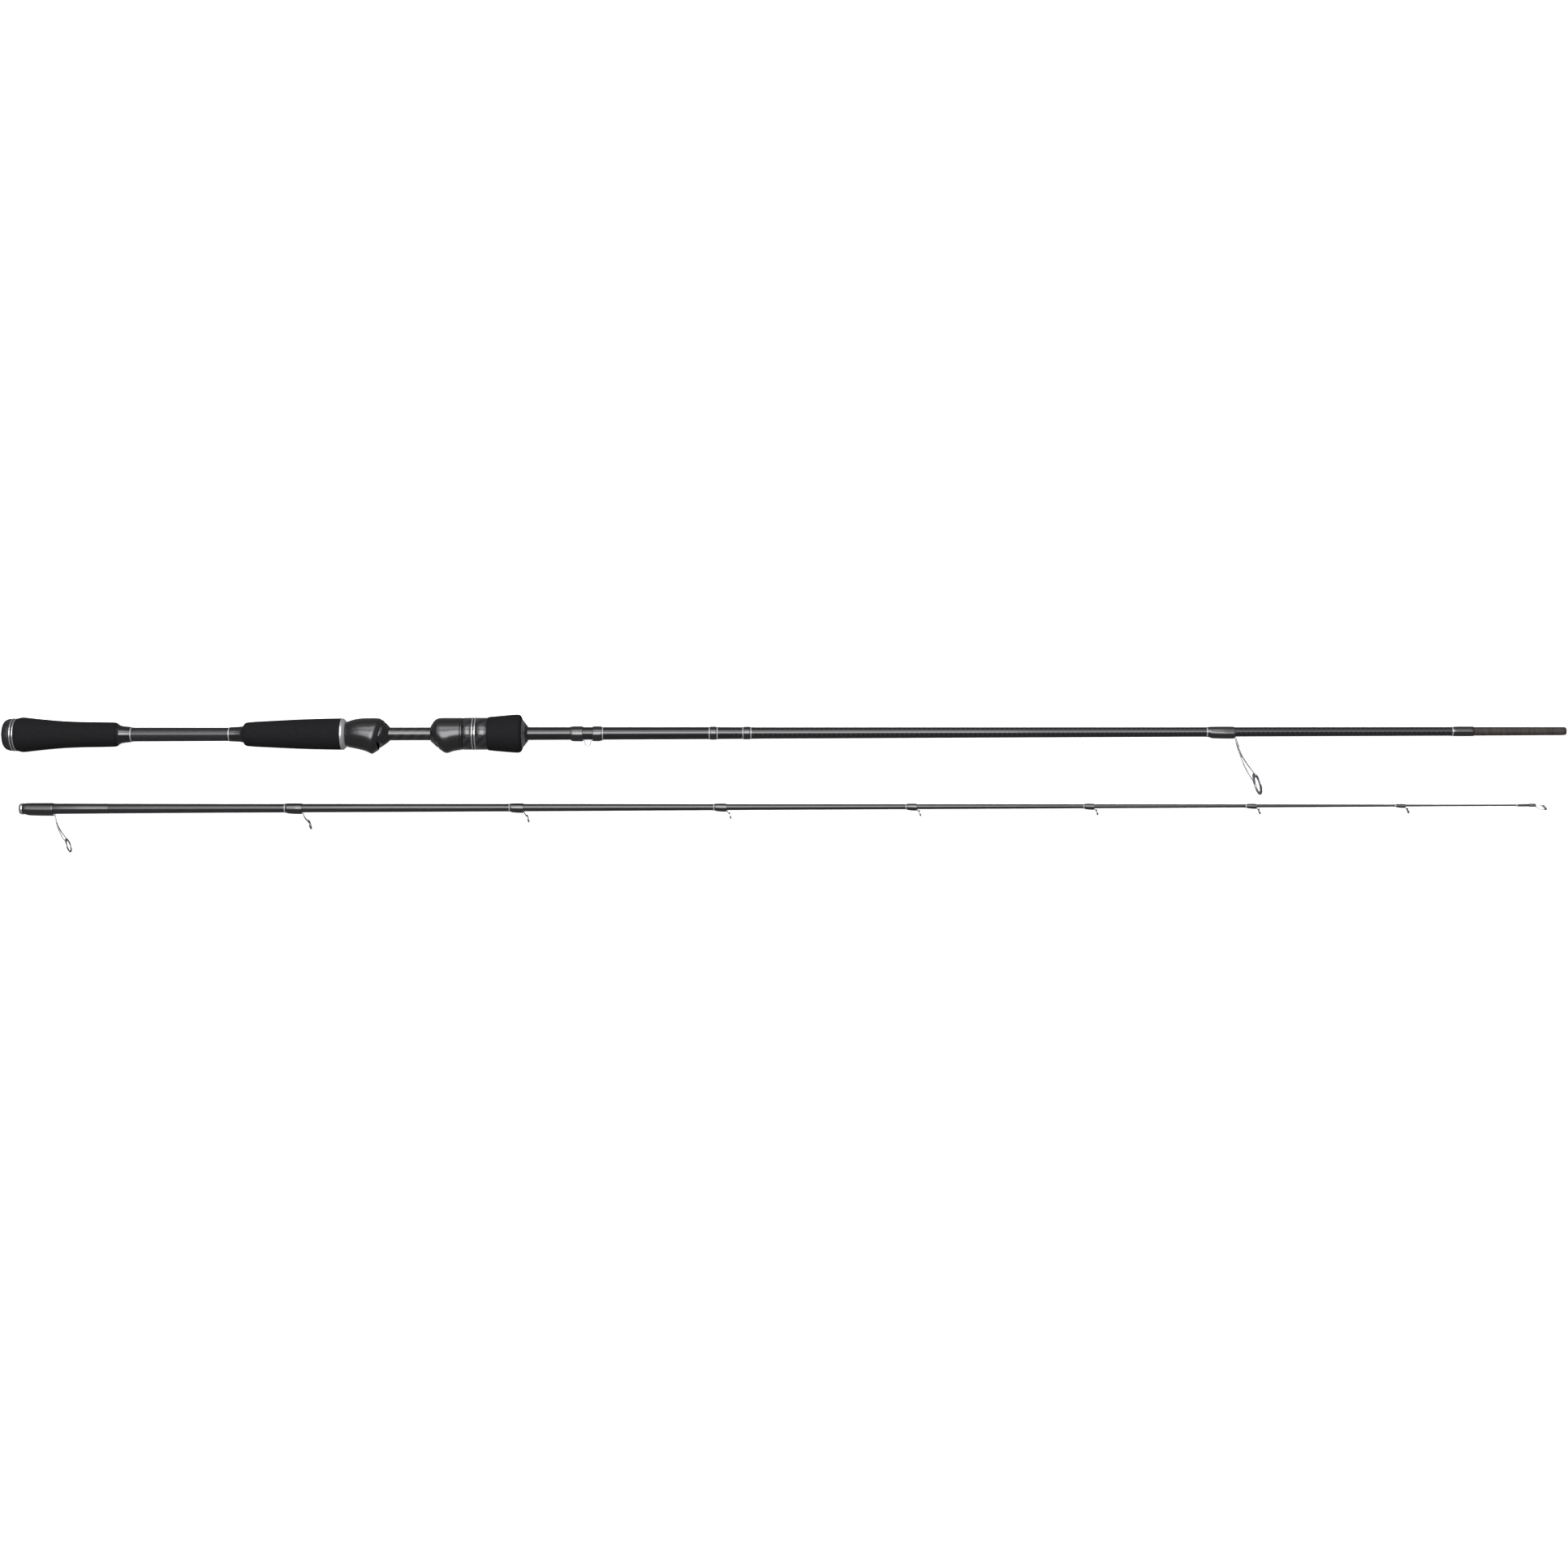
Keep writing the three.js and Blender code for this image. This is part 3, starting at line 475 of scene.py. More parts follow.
def bentWire(name, points, thickness):
    # a wire through some points, as a curve that is then made a mesh
    bpy.ops.object.select_all(action="DESELECT")
    bpy.ops.curve.primitive_bezier_curve_add()
    wire = bpy.context.object
    wire.name = name
    line = wire.data
    line.splines.clear()
    run = line.splines.new("BEZIER")
    run.bezier_points.add(len(points) - 1)
    for knot, place in zip(run.bezier_points, points):
        knot.co = Vector(place) * mm
        knot.handle_left_type = knot.handle_right_type = "AUTO"
    line.dimensions = "3D"
    line.twist_mode = "Z_UP"
    line.bevel_depth = thickness / 2 * mm
    line.bevel_resolution = 3
    line.resolution_u = 6
    line.use_fill_caps = True
    bpy.ops.object.convert(target="MESH")
    wire = bpy.context.object
    bpy.ops.object.mode_set(mode="EDIT")
    bpy.ops.mesh.select_all(action="SELECT")
    bpy.ops.mesh.remove_doubles(threshold=0.001 * mm)
    bpy.ops.mesh.normals_make_consistent(inside=False)
    bpy.ops.object.mode_set(mode="OBJECT")
    return wire


def barBetween(name, low, high, bevel=0.0):
    # a bar between two corners, with its edges eased
    bpy.ops.object.select_all(action="DESELECT")
    middle = [(a + b) / 2 * mm for a, b in zip(low, high)]
    bpy.ops.mesh.primitive_cube_add(size=1, location=middle)
    bar = bpy.context.object
    bar.name = name
    bar.scale = [(b - a) * mm for a, b in zip(low, high)]
    settle(bar)
    if bevel:
        softenEdges(bar, bevel, 30, 3)
    return bar


def cutAway(piece, tool):
    cut = piece.modifiers.new("cut", "BOOLEAN")
    cut.operation = "DIFFERENCE"
    cut.solver = "EXACT"
    cut.object = tool
    applyAll(piece)
    bpy.data.objects.remove(tool)


def fit(piece, section, body, slotName, material, *nodes):
    # finishes a piece: material, place on the section, body, and the CAD nodes it stands for, which it hides
    if material is not None:
        piece.data.materials.clear()
        piece.data.materials.append(material)
    piece.rotation_euler = (section["roll"], 0, 0)
    piece.location = section["origin"]
    settle(piece)
    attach(piece, body)
    if nodes:
        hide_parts(*nodes)
    return piece


def radiusAt(outline, station):
    for (startX, startR), (endX, endR) in zip(outline, outline[1:]):
        if station <= endX:
            break
    return startR + (endR - startR) * (station - startX) / (endX - startX)


print("blanks")

buttBlank = {
    "outline": [
        [3, 5.25], [100, 5.2], [165, 5], [285, 4.83], [390, 4.83], [520, 4.55], [560, 4.32],
        [716, 3.95], [880, 3.6], [1070, 3.3], [1086, 3.25], [1152.6, 3.07], [1153.6, 2.9], [1154, 2.5],
    ],
    "wall": 1.1,
    "zones": [(0, gripCarbon), (250, seatWeave), (345, lacquer), (536, diamondCarbon), (1078, spigotCarbon)],
}
tipBlank = {
    "outline": [
        [66.1, 3.7], [150, 3.35], [280, 3.08], [420, 2.7], [560, 2.18],
        [700, 1.85], [840, 1.48], [960, 1.1], [1060, 0.72], [1122, 0.66],
    ],
    "bore": [[66.1, 2.5], [700, 0.9], [1000, 0.25]],
}
ferrule = {"outline": [[0, 3.9], [24.9, 3.95], [66, 3.72]], "bore": [[0, 3.42], [66, 3.22]]}


def addButtBlank():
    outline = buttBlank["outline"]
    stations = sorted({x for x, _ in outline} | {x for x, _ in buttBlank["zones"][1:]})
    outer = [[x, radiusAt(outline, x)] for x in stations if x >= outline[0][0]]
    inner = [[3, outline[0][1] - buttBlank["wall"]], [1086, 2.15], [1154, 1.95]]
    blank = turnTube("buttBlank", outer, inner, 48)
    for _, material in buttBlank["zones"]:
        blank.data.materials.append(material)
    for face in blank.data.polygons:
        starts = [x for x, _ in buttBlank["zones"] if x * mm <= face.center.x]
        face.material_index = len(starts) - 1
    smoothShade(blank)
    fit(blank, buttSection, "butt_section", "carbon_blank", None, "butt_blank")


def addTipBlank():
    [*bore, deepest], start = tipBlank["bore"], tipBlank["outline"][0]
    end = tipBlank["outline"][-1]
    outline = [*tipBlank["outline"][:-1], [end[0] - 0.3, end[1]], [end[0], end[1] * 0.6], [end[0], 0]]
    outline += [[deepest[0], 0], deepest, *reversed(bore), start]
    blank = turnPiece("tipBlank", outline, 40)
    smoothShade(blank)
    fit(blank, tipSection, "tip_section", "carbon_blank", tipCarbon, "tip_blank")
    socket = turnTube("femaleFerrule", ferrule["outline"], ferrule["bore"], 48)
    softenEdges(socket, 0.12, 60)
    smoothShade(socket)
    fit(socket, tipSection, "tip_section", "carbon_blank", tipCarbon, "female_ferrule")


addButtBlank()
addTipBlank()

print("handle")

buttCap = {
    "dome": [[0, 7.9], [0.25, 8.9], [0.9, 10.2], [2.4, 11.3], [4.4, 11.85], [6.1, 12]],
    "dimple": {"radius": 5.6, "depth": 0.5},
    "rings": [6.4, 8.4],
    "ringWidth": 1.2,
    "seat": 10.2,
    "ringRadius": 12.15,
}
grips = {
    "rear": {
        "start": 9.7,
        "end": 84.2,
        "swell": [
            [9.7, 11.7], [10.3, 12.1], [12, 12.62], [14.6, 12.84], [20.4, 12.2], [30, 11.2],
            [42, 10.15], [56, 9.5], [72, 9.25], [80, 9.08],
        ],
        "nose": [[82, 8.98], [82.8, 8.75], [83.6, 8.3], [84.2, 7.7]],
    },
    "mid": {
        "start": 177.1,
        "end": 249.1,
        "nose": [[177.1, 6.4], [177.25, 7.2], [177.7, 7.9], [178.5, 8.5], [179.4, 8.8]],
        "swell": [
            [180.5, 8.95], [185.1, 9.3], [194, 9.75], [206, 10.35], [218, 10.92], [230, 11.3],
            [242, 11.58], [249.1, 11.65],
        ],
    },
}
checks = {
    "rear": {"start": 84.3, "end": 93.4, "wide": 7.7, "narrow": 5.72},
    "mid": {"start": 166.9, "end": 177, "wide": 6.3, "narrow": 5.35},
    "flare": [
        [0, 1], [0.08, 0.78], [0.16, 0.55], [0.27, 0.4], [0.4, 0.28], [0.55, 0.19], [0.7, 0.12], [1, 0],
    ],
}
seatCollar = {
    "outline": [[249.2, 11.45], [249.4, 11.7], [249.7, 11.75], [250.7, 11.5], [252.4, 9.85], [252.6, 9.6]],
}


def addButtCap():
    dome = smoothLine(buttCap["dome"], 4)
    rear, front = buttCap["rings"]
    seat, width = buttCap["seat"], buttCap["ringWidth"]
    dimple = buttCap["dimple"]
    bore = buttBlank["outline"][0][1] + 0.2
    outline = [[dimple["depth"], 0], [dimple["depth"], dimple["radius"] - 0.8], [0, dimple["radius"]]]
    outline += [*dome, [rear, 11.8], [rear, seat], [rear + width, seat], [rear + width, 11.9]]
    outline += [[front, 11.9], [front, seat], [9.6, seat], [9.6, bore], [2.7, bore], [2.7, 0]]
    cap = turnPiece("buttCap", outline)
    softenEdges(cap, 0.12, 50)
    smoothShade(cap)
    fit(cap, buttSection, "butt_section", "end_cap_rubber", rubber, "butt_cap")
    rings = (("buttRingRear", "butt_ring_rear", rear), ("buttRingFront", "butt_ring_front", front))
    for name, node, start in rings:
        low, high, top = start + 0.1, start + width - 0.1, buttCap["ringRadius"]
        band = [[low, top - 0.35], [low + 0.12, top - 0.1], [low + 0.3, top], [high - 0.3, top]]
        band += [[high - 0.12, top - 0.1], [high, top - 0.35]]
        ring = turnTube(name, band, [[low, seat + 0.1], [high, seat + 0.1]])
        smoothShade(ring, 50)
        fit(ring, buttSection, "butt_section", "aluminium_trim", aluminium, node)


def addGrips():
    rear, mid = grips["rear"], grips["mid"]
    for name, node, grip, outer in (
        ("rearGrip", "rear_grip", rear, [*smoothLine(rear["swell"]), *rear["nose"]]),
        ("midGrip", "mid_grip", mid, [*mid["nose"], *smoothLine(mid["swell"])]),
    ):
        bore = radiusAt(buttBlank["outline"], grip["start"]) + 0.2
        piece = turnTube(name, outer, [[grip["start"], bore], [grip["end"], bore]])
        smoothShade(piece)
        fit(piece, buttSection, "butt_section", "eva_foam", foam, node)


def addChecks():
    for name, node, check, turned in (
        ("rearGripCheck", "rear_grip_check", checks["rear"], 1),
        ("midGripCheck", "mid_grip_check", checks["mid"], -1),
    ):
        start, end = check["start"], check["end"]
        foot = start if turned == 1 else end
        reach, rise = end - start, check["wide"] - check["narrow"]
        flare = smoothLine(checks["flare"], 3)
        outer = [[foot + turned * reach * x, check["narrow"] + rise * y] for x, y in flare]
        bore = radiusAt(buttBlank["outline"], start) + 0.15
        outer = outer if turned == 1 else outer[::-1]
        piece = turnTube(name, outer, [[start, bore], [end, bore]])
        smoothShade(piece, 50)
        fit(piece, buttSection, "butt_section", "gloss_black", anodised, node)
    outline = seatCollar["outline"]
    collar = turnTube("seatCollar", outline, [[outline[0][0], 5.1], [outline[-1][0], 5.1]])
    smoothShade(collar, 50)
    fit(collar, buttSection, "butt_section", "aluminium_trim", collarAluminium, "seat_collar")


addButtCap()
addGrips()
addChecks()

print("reel seat")

# rows of back station, back radius, guide-side station, guide-side radius
rearHood = {
    "rows": [
        [252.8, 8.4, 252.8, 8.6], [253.3, 9, 253.3, 9.2], [254.2, 9.5, 254.2, 9.7], [258, 10.7, 258, 10.5],
        [262.8, 11.55, 262.8, 11.6], [268, 11.8, 267, 12.9], [273.5, 11.8, 270.4, 14.5],
    ],
    "lip": [[276.4, 11.65, 271.3, 14.95], [277.6, 11.4, 272, 15.0], [278, 11.1, 272.5, 14.7]],
    "front": [
        [280.4, 9.7, 276.2, 12.2], [281.8, 8.2, 279, 9.5], [283.4, 6.6, 282.2, 7.2], [284.4, 5.4, 284.4, 5.4],
    ],
    "bore": 5.1,
    "pocket": [264.6, 292],
    "collarFrom": 280,
    "collarDrop": 0.45,
}
movingHood = {
    "rim": [
        [315.2, 5.5, 315.2, 5.5], [315.4, 6.4, 315.5, 6.2], [315.8, 6.8, 316, 6.6], [317.2, 9.2, 318, 8.2],
        [318.8, 10.7, 320.4, 10.8],
    ],
    "rows": [
        [320.8, 11.6, 323.2, 12.7], [323.2, 11.85, 325.8, 14.3], [327, 11.85, 328.4, 14.3],
        [331, 11.85, 331.6, 13], [335, 11.85, 335, 12.3], [337.2, 11.85, 337.2, 12],
    ],
    "frontEdge": [
        [337.4, 11.7, 337.4, 11.75], [337.55, 11.45, 337.55, 11.45], [337.9, 11.45, 337.9, 11.45],
        [338.05, 11.75, 338.05, 11.75], [338.9, 11.8, 338.9, 11.8], [339.2, 11.55, 339.2, 11.55],
    ],
    "throat": 5.08,
    "wallEnd": 318.4,
    "room": 7.05,
    "pocket": [306, 331],
}
footRoom = {"flat": 8.5, "ceiling": 11.6}
threadBarrel = {"start": 332, "end": 376, "radius": 6.8, "pitch": 1.5, "depth": 0.45}


def footTool(start, end):
    # room for a reel foot: a cylinder with all but its guide side cut off
    bpy.ops.object.select_all(action="DESELECT")
    middle = ((start + end) / 2 * mm, 0, 0)
    size = {"vertices": 72, "radius": footRoom["ceiling"] * mm, "depth": (end - start) * mm}
    bpy.ops.mesh.primitive_cylinder_add(location=middle, rotation=(0, pi / 2, 0), **size)
    tool = bpy.context.object
    settle(tool)
    bpy.ops.object.mode_set(mode="EDIT")
    bpy.ops.mesh.select_all(action="SELECT")
    plane = {"plane_co": (0, 0, -footRoom["flat"] * mm), "plane_no": (0, 0, 1)}
    bpy.ops.mesh.bisect(use_fill=True, clear_outer=True, **plane)
    bpy.ops.object.mode_set(mode="OBJECT")
    return tool


def hoodPiece(name, rows, inner, pocket, sweep=None):
    outer = [[row[0], row[1]] for row in rows]
    hood = lobed(turnTube(name, outer, inner, 96), rows, 2, sweep)
    cutAway(hood, footTool(*pocket))
    softenEdges(hood, 0.22, 42)
    smoothShade(hood, 38)
    return hood


def addHoods():
    rear = [*smoothLine(rearHood["rows"], 4), *rearHood["lip"], rearHood["front"][0]]
    bore, drop = rearHood["bore"], rearHood["collarDrop"]
    split = rearHood["collarFrom"]
    inside = [[252.8, bore], [272, bore], [split - 3.4, 9.2]]
    hood = hoodPiece("rearHood", rear, inside, rearHood["pocket"], 1.3)
    fit(hood, buttSection, "butt_section", "graphite_resin", graphite, "rear_hood")
    nose = [[split - 3, 9, 272.6, 9], [split, 9.7 - drop, 276, 12.2 - drop]]
    nose += smoothLine([[split + 0.8, 9.3 - drop, 277, 11.6 - drop], *rearHood["front"][1:]], 3)
    inside = [[split - 3, 8.9], [split - 3, bore], [284.4, bore]]
    collar = hoodPiece("rearHoodCollar", nose, inside, rearHood["pocket"], 1.3)
    fit(collar, buttSection, "butt_section", "graphite_resin", anodised, "rear_hood")
    moving = [*movingHood["rim"], *smoothLine(movingHood["rows"], 4), *movingHood["frontEdge"]]
    wall, room, throat = movingHood["wallEnd"], movingHood["room"], movingHood["throat"]
    inner = [[315.2, throat], [wall, throat], [wall, room], [339.2, room]]
    hood = hoodPiece("movingHood", moving, inner, movingHood["pocket"])
    fit(hood, buttSection, "moving_hood", "graphite_resin", graphite, "moving_hood")


def addThreadBarrel():
    start, end, radius = (threadBarrel[key] for key in ("start", "end", "radius"))
    pitch, depth = threadBarrel["pitch"], threadBarrel["depth"]
    outer = [[start, radius - depth]]
    station = start + 0.6
    while station + pitch < end:
        for along, drop in ((0, depth), (0.3, 0), (0.6, 0), (0.9, depth)):
            outer.append([station + pitch * along, radius - drop])
        station += pitch
    outer.append([end, radius - depth])
    barrel = turnTube("threadBarrel", outer, [[start, 5.03], [end, 5.03]])
    smoothShade(barrel, 30)
    fit(barrel, buttSection, "butt_section", "gloss_black", anodised, "thread_barrel")


addHoods()
addThreadBarrel()

print("lock nut")

lockNut = {
    "insert": {"start": 339.6, "end": 382.4, "bore": 7.05, "radius": 10.3},
    "rib": [347.1, 347.9, 11.7],
    "rings": [346, 348],
    "ringWidth": 1,
    "ringRadius": 12.05,
    "sleeves": [[339.6, 345.9], [349.1, 357.5]],
    "sleeveRadius": 11.85,
    "seat": 10.4,
}
foreGrip = {
    "start": 357.6,
    "end": 382.5,
    "flare": [[357.6, 12.1], [357.9, 12.35], [359, 12.5], [363.6, 12.95], [371, 13.6], [376, 14.02]],
    "nose": [[378.6, 14.17], [380, 14.12], [380.9, 13.85], [381.7, 13.2], [382.3, 12.2], [382.5, 11.3]],
}
nutBevel = {"outline": [[382.6, 10.5], [382.8, 10.6], [384.9, 8.1], [385.2, 7.7]], "bore": 5.1}
nutCone = {"outline": [[385.3, 7.1], [385.9, 6.75], [386.5, 6], [386.8, 5.5]], "bore": 5.08}


def bandWithEdges(start, end, radius, ease):
    return [[start, radius - ease], [start + ease, radius], [end - ease, radius], [end, radius - ease]]


def addNut():
    insert = lockNut["insert"]
    start, end, radius = insert["start"], insert["end"], insert["radius"]
    ribStart, ribEnd, ribRadius = lockNut["rib"]
    outer = [[start, radius], [ribStart, radius], [ribStart, ribRadius], [ribEnd, ribRadius]]
    outer += [[ribEnd, radius], [end, radius]]
    core = turnTube("nutInsert", outer, [[start, insert["bore"]], [end, insert["bore"]]])
    softenEdges(core, 0.08, 50)
    smoothShade(core)
    fit(core, buttSection, "lock_nut", "gloss_black", anodised, "nut_insert")
    seat = lockNut["seat"]
    names = (("nutSleeveRear", "nut_sleeve_rear"), ("nutSleeveFront", "nut_sleeve_front"))
    for (name, node), (low, high) in zip(names, lockNut["sleeves"]):
        outer = bandWithEdges(low, high, lockNut["sleeveRadius"], 0.2)
        sleeve = turnTube(name, outer, [[low, seat], [high, seat]], 96)
        smoothShade(sleeve, 50)
        fit(sleeve, buttSection, "lock_nut", "woven_carbon", sleeveWeave, node)
    names = (("nutRingRear", "nut_ring_rear"), ("nutRingFront", "nut_ring_front"))
    for (name, node), low in zip(names, lockNut["rings"]):
        high = low + lockNut["ringWidth"]
        band = bandWithEdges(low, high, lockNut["ringRadius"], 0.2)
        ring = turnTube(name, band, [[low, seat], [high, seat]])
        smoothShade(ring, 50)
        fit(ring, buttSection, "lock_nut", "aluminium_trim", aluminium, node)
    start, end = foreGrip["start"], foreGrip["end"]
    outer = [*smoothLine(foreGrip["flare"]), *foreGrip["nose"]]
    grip = turnTube("foreGrip", outer, [[start, seat], [end, seat]])
    smoothShade(grip)
    fit(grip, buttSection, "lock_nut", "eva_foam", foam, "fore_grip")
    for name, node, shape, slotName, material in (
        ("nutBevelRing", "nut_bevel_ring", nutBevel, "aluminium_trim", darkSteel),
        ("nutEndCone", "nut_end_cone", nutCone, "gloss_black", anodised),
    ):
        outline, bore = shape["outline"], shape["bore"]
        ring = turnTube(name, outline, [[outline[0][0], bore], [outline[-1][0], bore]])
        smoothShade(ring, 50)
        fit(ring, buttSection, "lock_nut", slotName, material, node)


addNut()

print("keeper, bands and wraps")

keeper = {"centre": 431.2, "halfWidth": 2.15, "depth": 10.3, "wire": 0.8, "footLength": 5}
keeperWraps = {
    "rear": {"start": 418.2, "end": 427.6, "node": "keeper_wrap_rear"},
    "front": {"start": 434.8, "end": 441.6, "node": "keeper_wrap_front"},
}
trimBands = {"rear": [521.4, 526.2], "front": [546.3, 551.1], "height": 0.4}
ferruleWrap = {"start": 1070.4, "end": 1086, "height": 0.4}
silverRings = {
    "width": 0.9,
    "height": 0.32,
    "butt": [
        93.5, 165.9, 441.75, 520.55, 526.35, 545.35, 551.25, 888.1, 1069.4,
    ],
    "tip": [196.4, 363.2, 515, 657.8, 789.8, 910.4, 1021.4, 1111.4],
}


def addKeeper():
    centre, half, depth = keeper["centre"], keeper["halfWidth"], keeper["depth"]
    wire = keeper["wire"] / 2
    foot = radiusAt(buttBlank["outline"], centre) + 0.1 + wire
    bottom = depth - wire
    side = [
        [half + keeper["footLength"], foot], [half + 1.4, foot + 0.02], [half + 0.3, foot + 0.6],
        [half - 0.05, foot + 1.8], [half - 0.3, bottom - 1.6], [half * 0.5, bottom - 0.25],
    ]
    rear = [[centre - away, 0, -down] for away, down in side]
    front = [[centre + away, 0, -down] for away, down in reversed(side)]
    hook = bentWire("hookKeeper", [*rear, [centre, 0, -bottom], *front], keeper["wire"])
    smoothShade(hook, 60)
    fit(hook, buttSection, "butt_section", "polished_steel", steel, "hook_keeper")
    for key, name in (("rear", "keeperWrapRear"), ("front", "keeperWrapFront")):
        start, end = keeperWraps[key]["start"], keeperWraps[key]["end"]
        blank = radiusAt(buttBlank["outline"], (start + end) / 2)
        rows = [
            [start, blank + 0.22, start, blank + 0.25], [start + 1.1, blank + 0.46, start + 1.1, blank + 0.8],
            [start + 2.6, blank + 0.62, start + 2.6, blank + 1.15],
            [end - 2.6, blank + 0.62, end - 2.6, blank + 1.2],
            [end - 0.9, blank + 0.52, end - 0.9, blank + 0.85], [end, blank + 0.35, end, blank + 0.5],
        ]
        if key == "rear":
            rows[-2] = [end - 0.6, blank + 0.6, end - 0.6, blank + 1.2]
            rows[-1] = [end, blank + 0.4, end, blank + 1.05]
        else:
            rows[0] = [start, blank + 0.4, start, blank + 1.05]
            rows[1] = [start + 0.6, blank + 0.6, start + 0.6, blank + 1.2]
        addWrap(name, rows, blank, buttSection, "butt_section", buttThread, keeperWraps[key]["node"])


def addWrap(name, rows, blank, section, body, material, node, sides=48):
    # thread wound over a foot, flooded with epoxy that swells and thins out at both ends
    rows = smoothLine(rows, 4)
    inner = [[rows[0][0], blank + 0.05], [rows[-1][0], blank + 0.05]]
    wrap = lobed(turnTube(name, [row[:2] for row in rows], inner, sides), rows, 1.6)
    smoothShade(wrap, 50)
    fit(wrap, section, body, "epoxy_wrap", material, node)


def addPlainWrap(name, start, end, outline, height, section, body, material, node):
    middle = radiusAt(outline, (start + end) / 2)
    rise = [[0, 0.3], [0.06, 0.75], [0.2, 1], [0.5, 1.05], [0.8, 1], [0.94, 0.75], [1, 0.3]]
    rows = [[start + (end - start) * x, middle + height * y] * 2 for x, y in rise]
    addWrap(name, rows, middle, section, body, material, node)


def silverRing(name, station, section, outline, body):
    width, height = silverRings["width"], silverRings["height"]
    middle = radiusAt(outline, min(station + width / 2, outline[-1][0]))
    turns = 3
    outer = [[station, middle + 0.08]]
    for at in range(turns):
        lift = height if middle > 1 else height * 0.8
        start = station + width * at / turns
        back = ((0.25, 0.85), (0.5, 1), (0.75, 0.85))
        outer += [[start + width / turns * x, middle + lift * y] for x, y in back]
        outer.append([start + width / turns, middle + (lift * 0.6 if at < turns - 1 else 0.08)])
    ring = turnTube(name, outer, [[station, middle + 0.03], [station + width, middle + 0.03]], 48)
    smoothShade(ring, 60)
    material = buttSilver if section is buttSection else tipSilver
    fit(ring, section, body, "aluminium_trim", material)


def addBands():
    outline = buttBlank["outline"]
    bands = (("rear", "trimBandRear", "trim_band_rear"), ("front", "trimBandFront", "trim_band_front"))
    for key, name, node in bands:
        start, end = trimBands[key]
        height = trimBands["height"]
        addPlainWrap(name, start, end, outline, height, buttSection, "butt_section", buttThread, node)
    start, end, height = ferruleWrap["start"], ferruleWrap["end"], ferruleWrap["height"]
    wrapped = (outline, height, buttSection, "butt_section", buttThread, "ferrule_wrap")
    addPlainWrap("ferruleWrap", start, end, *wrapped)
    for at, station in enumerate(silverRings["butt"], 1):
        silverRing(f"silverThreadButt{at}", station, buttSection, outline, "butt_section")
    for at, station in enumerate(silverRings["tip"], 1):
        silverRing(f"silverThreadTip{at}", station, tipSection, tipBlank["outline"], "tip_section")


addKeeper()
addBands()

print("guides")

# wrap start, root of the legs, ring ahead of the root and out from the axis, ring size, foot thickness
guides = {
    "guide_1": {"wrap": 889.2, "root": 909.2, "ahead": 14.2, "reach": 40.8, "ring": 16.2, "foot": 0.9},
    "guide_2": {"wrap": 3, "root": 25.3, "ahead": 10.6, "reach": 27.5, "ring": 10.6, "foot": 0.7},
    "guide_3": {"wrap": 197.4, "root": 209.9, "ahead": 5.4, "reach": 12.4, "ring": 7.4, "foot": 0.5},
    "guide_4": {"wrap": 364.2, "root": 374.3, "ahead": 3, "reach": 8.2, "ring": 6.4, "foot": 0.45},
    "guide_5": {"wrap": 516, "root": 525.2, "ahead": 2.3, "reach": 6.4, "ring": 5.4, "foot": 0.4},
    "guide_6": {"wrap": 658.8, "root": 666.5, "ahead": 2, "reach": 4.9, "ring": 4.9, "foot": 0.35},
    "guide_7": {"wrap": 790.8, "root": 798.2, "ahead": 2, "reach": 4.5, "ring": 4.7, "foot": 0.35},
    "guide_8": {"wrap": 911.4, "root": 918.8, "ahead": 2, "reach": 4.2, "ring": 4.6, "foot": 0.3},
    "guide_9": {"wrap": 1022.4, "root": 1029.2, "ahead": 2, "reach": 3.9, "ring": 4.5, "foot": 0.3},
}
ringLean = radians(16)
tipTop = {
    "wrap": 1112.4, "tube": 1121, "tubeEnd": 1126.4, "radius": 1.25, "ringStation": 1132.9, "drop": 1.7,
    "ring": 4.6,
}


def ringSizes(outside):
    band = max(0.3, outside * 0.045)
    depth = max(0.9, outside * 0.085)
    return {"outer": outside / 2, "band": band, "insert": outside / 2 - band, "depth": depth}


def leanRing(piece, station, reach, lean):
    piece.rotation_euler = (0, -lean, 0)
    piece.location = Vector((station, 0, -reach)) * mm
    settle(piece)
    return piece


def ringBand(outside):
    # pressed band that holds the ceramic: a short tube with a rolled edge
    sizes = ringSizes(outside)
    half, outer, band = sizes["depth"] / 2, sizes["outer"] - 0.05, sizes["band"]
    edge = band * 0.4
    rim = [[-half, outer - band + 0.02], [-half, outer - edge], [-half + edge, outer]]
    rim += [[0, outer - edge * 0.3], [half - edge, outer], [half, outer - edge], [half, outer - band + 0.02]]
    inner = [[-half, outer - band], [half, outer - band]]
    return turnTube("ringBand", rim, inner, 56)


def ceramicMaster():
    # polished insert at unit size: outside radius 1, half depth 1, round in its bore
    turn = [pi * at / 12 for at in range(13)]
    bore = [[cos(t), 0.86 - 0.06 * sin(t)] for t in turn]
    outline = [[-0.92, 0.94], [-0.7, 1], [0.7, 1], [0.92, 0.94], *bore, [-0.92, 0.94]]
    ring = turnPiece("ceramicMaster", [[x * 10, r * 10] for x, r in outline], 64)
    smoothShade(ring, 50)
    return ring


def ceramicRing(master, name, outside, station, reach, lean):
    sizes = ringSizes(outside)
    ring = master.copy()
    ring.data = master.data.copy()
    ring.name = name
    bpy.context.scene.collection.objects.link(ring)
    across = (sizes["insert"] - 0.05) / 10
    ring.scale = (sizes["depth"] * 0.62 / 10, across, across)
    settle(ring)
    return leanRing(ring, station, reach, lean)


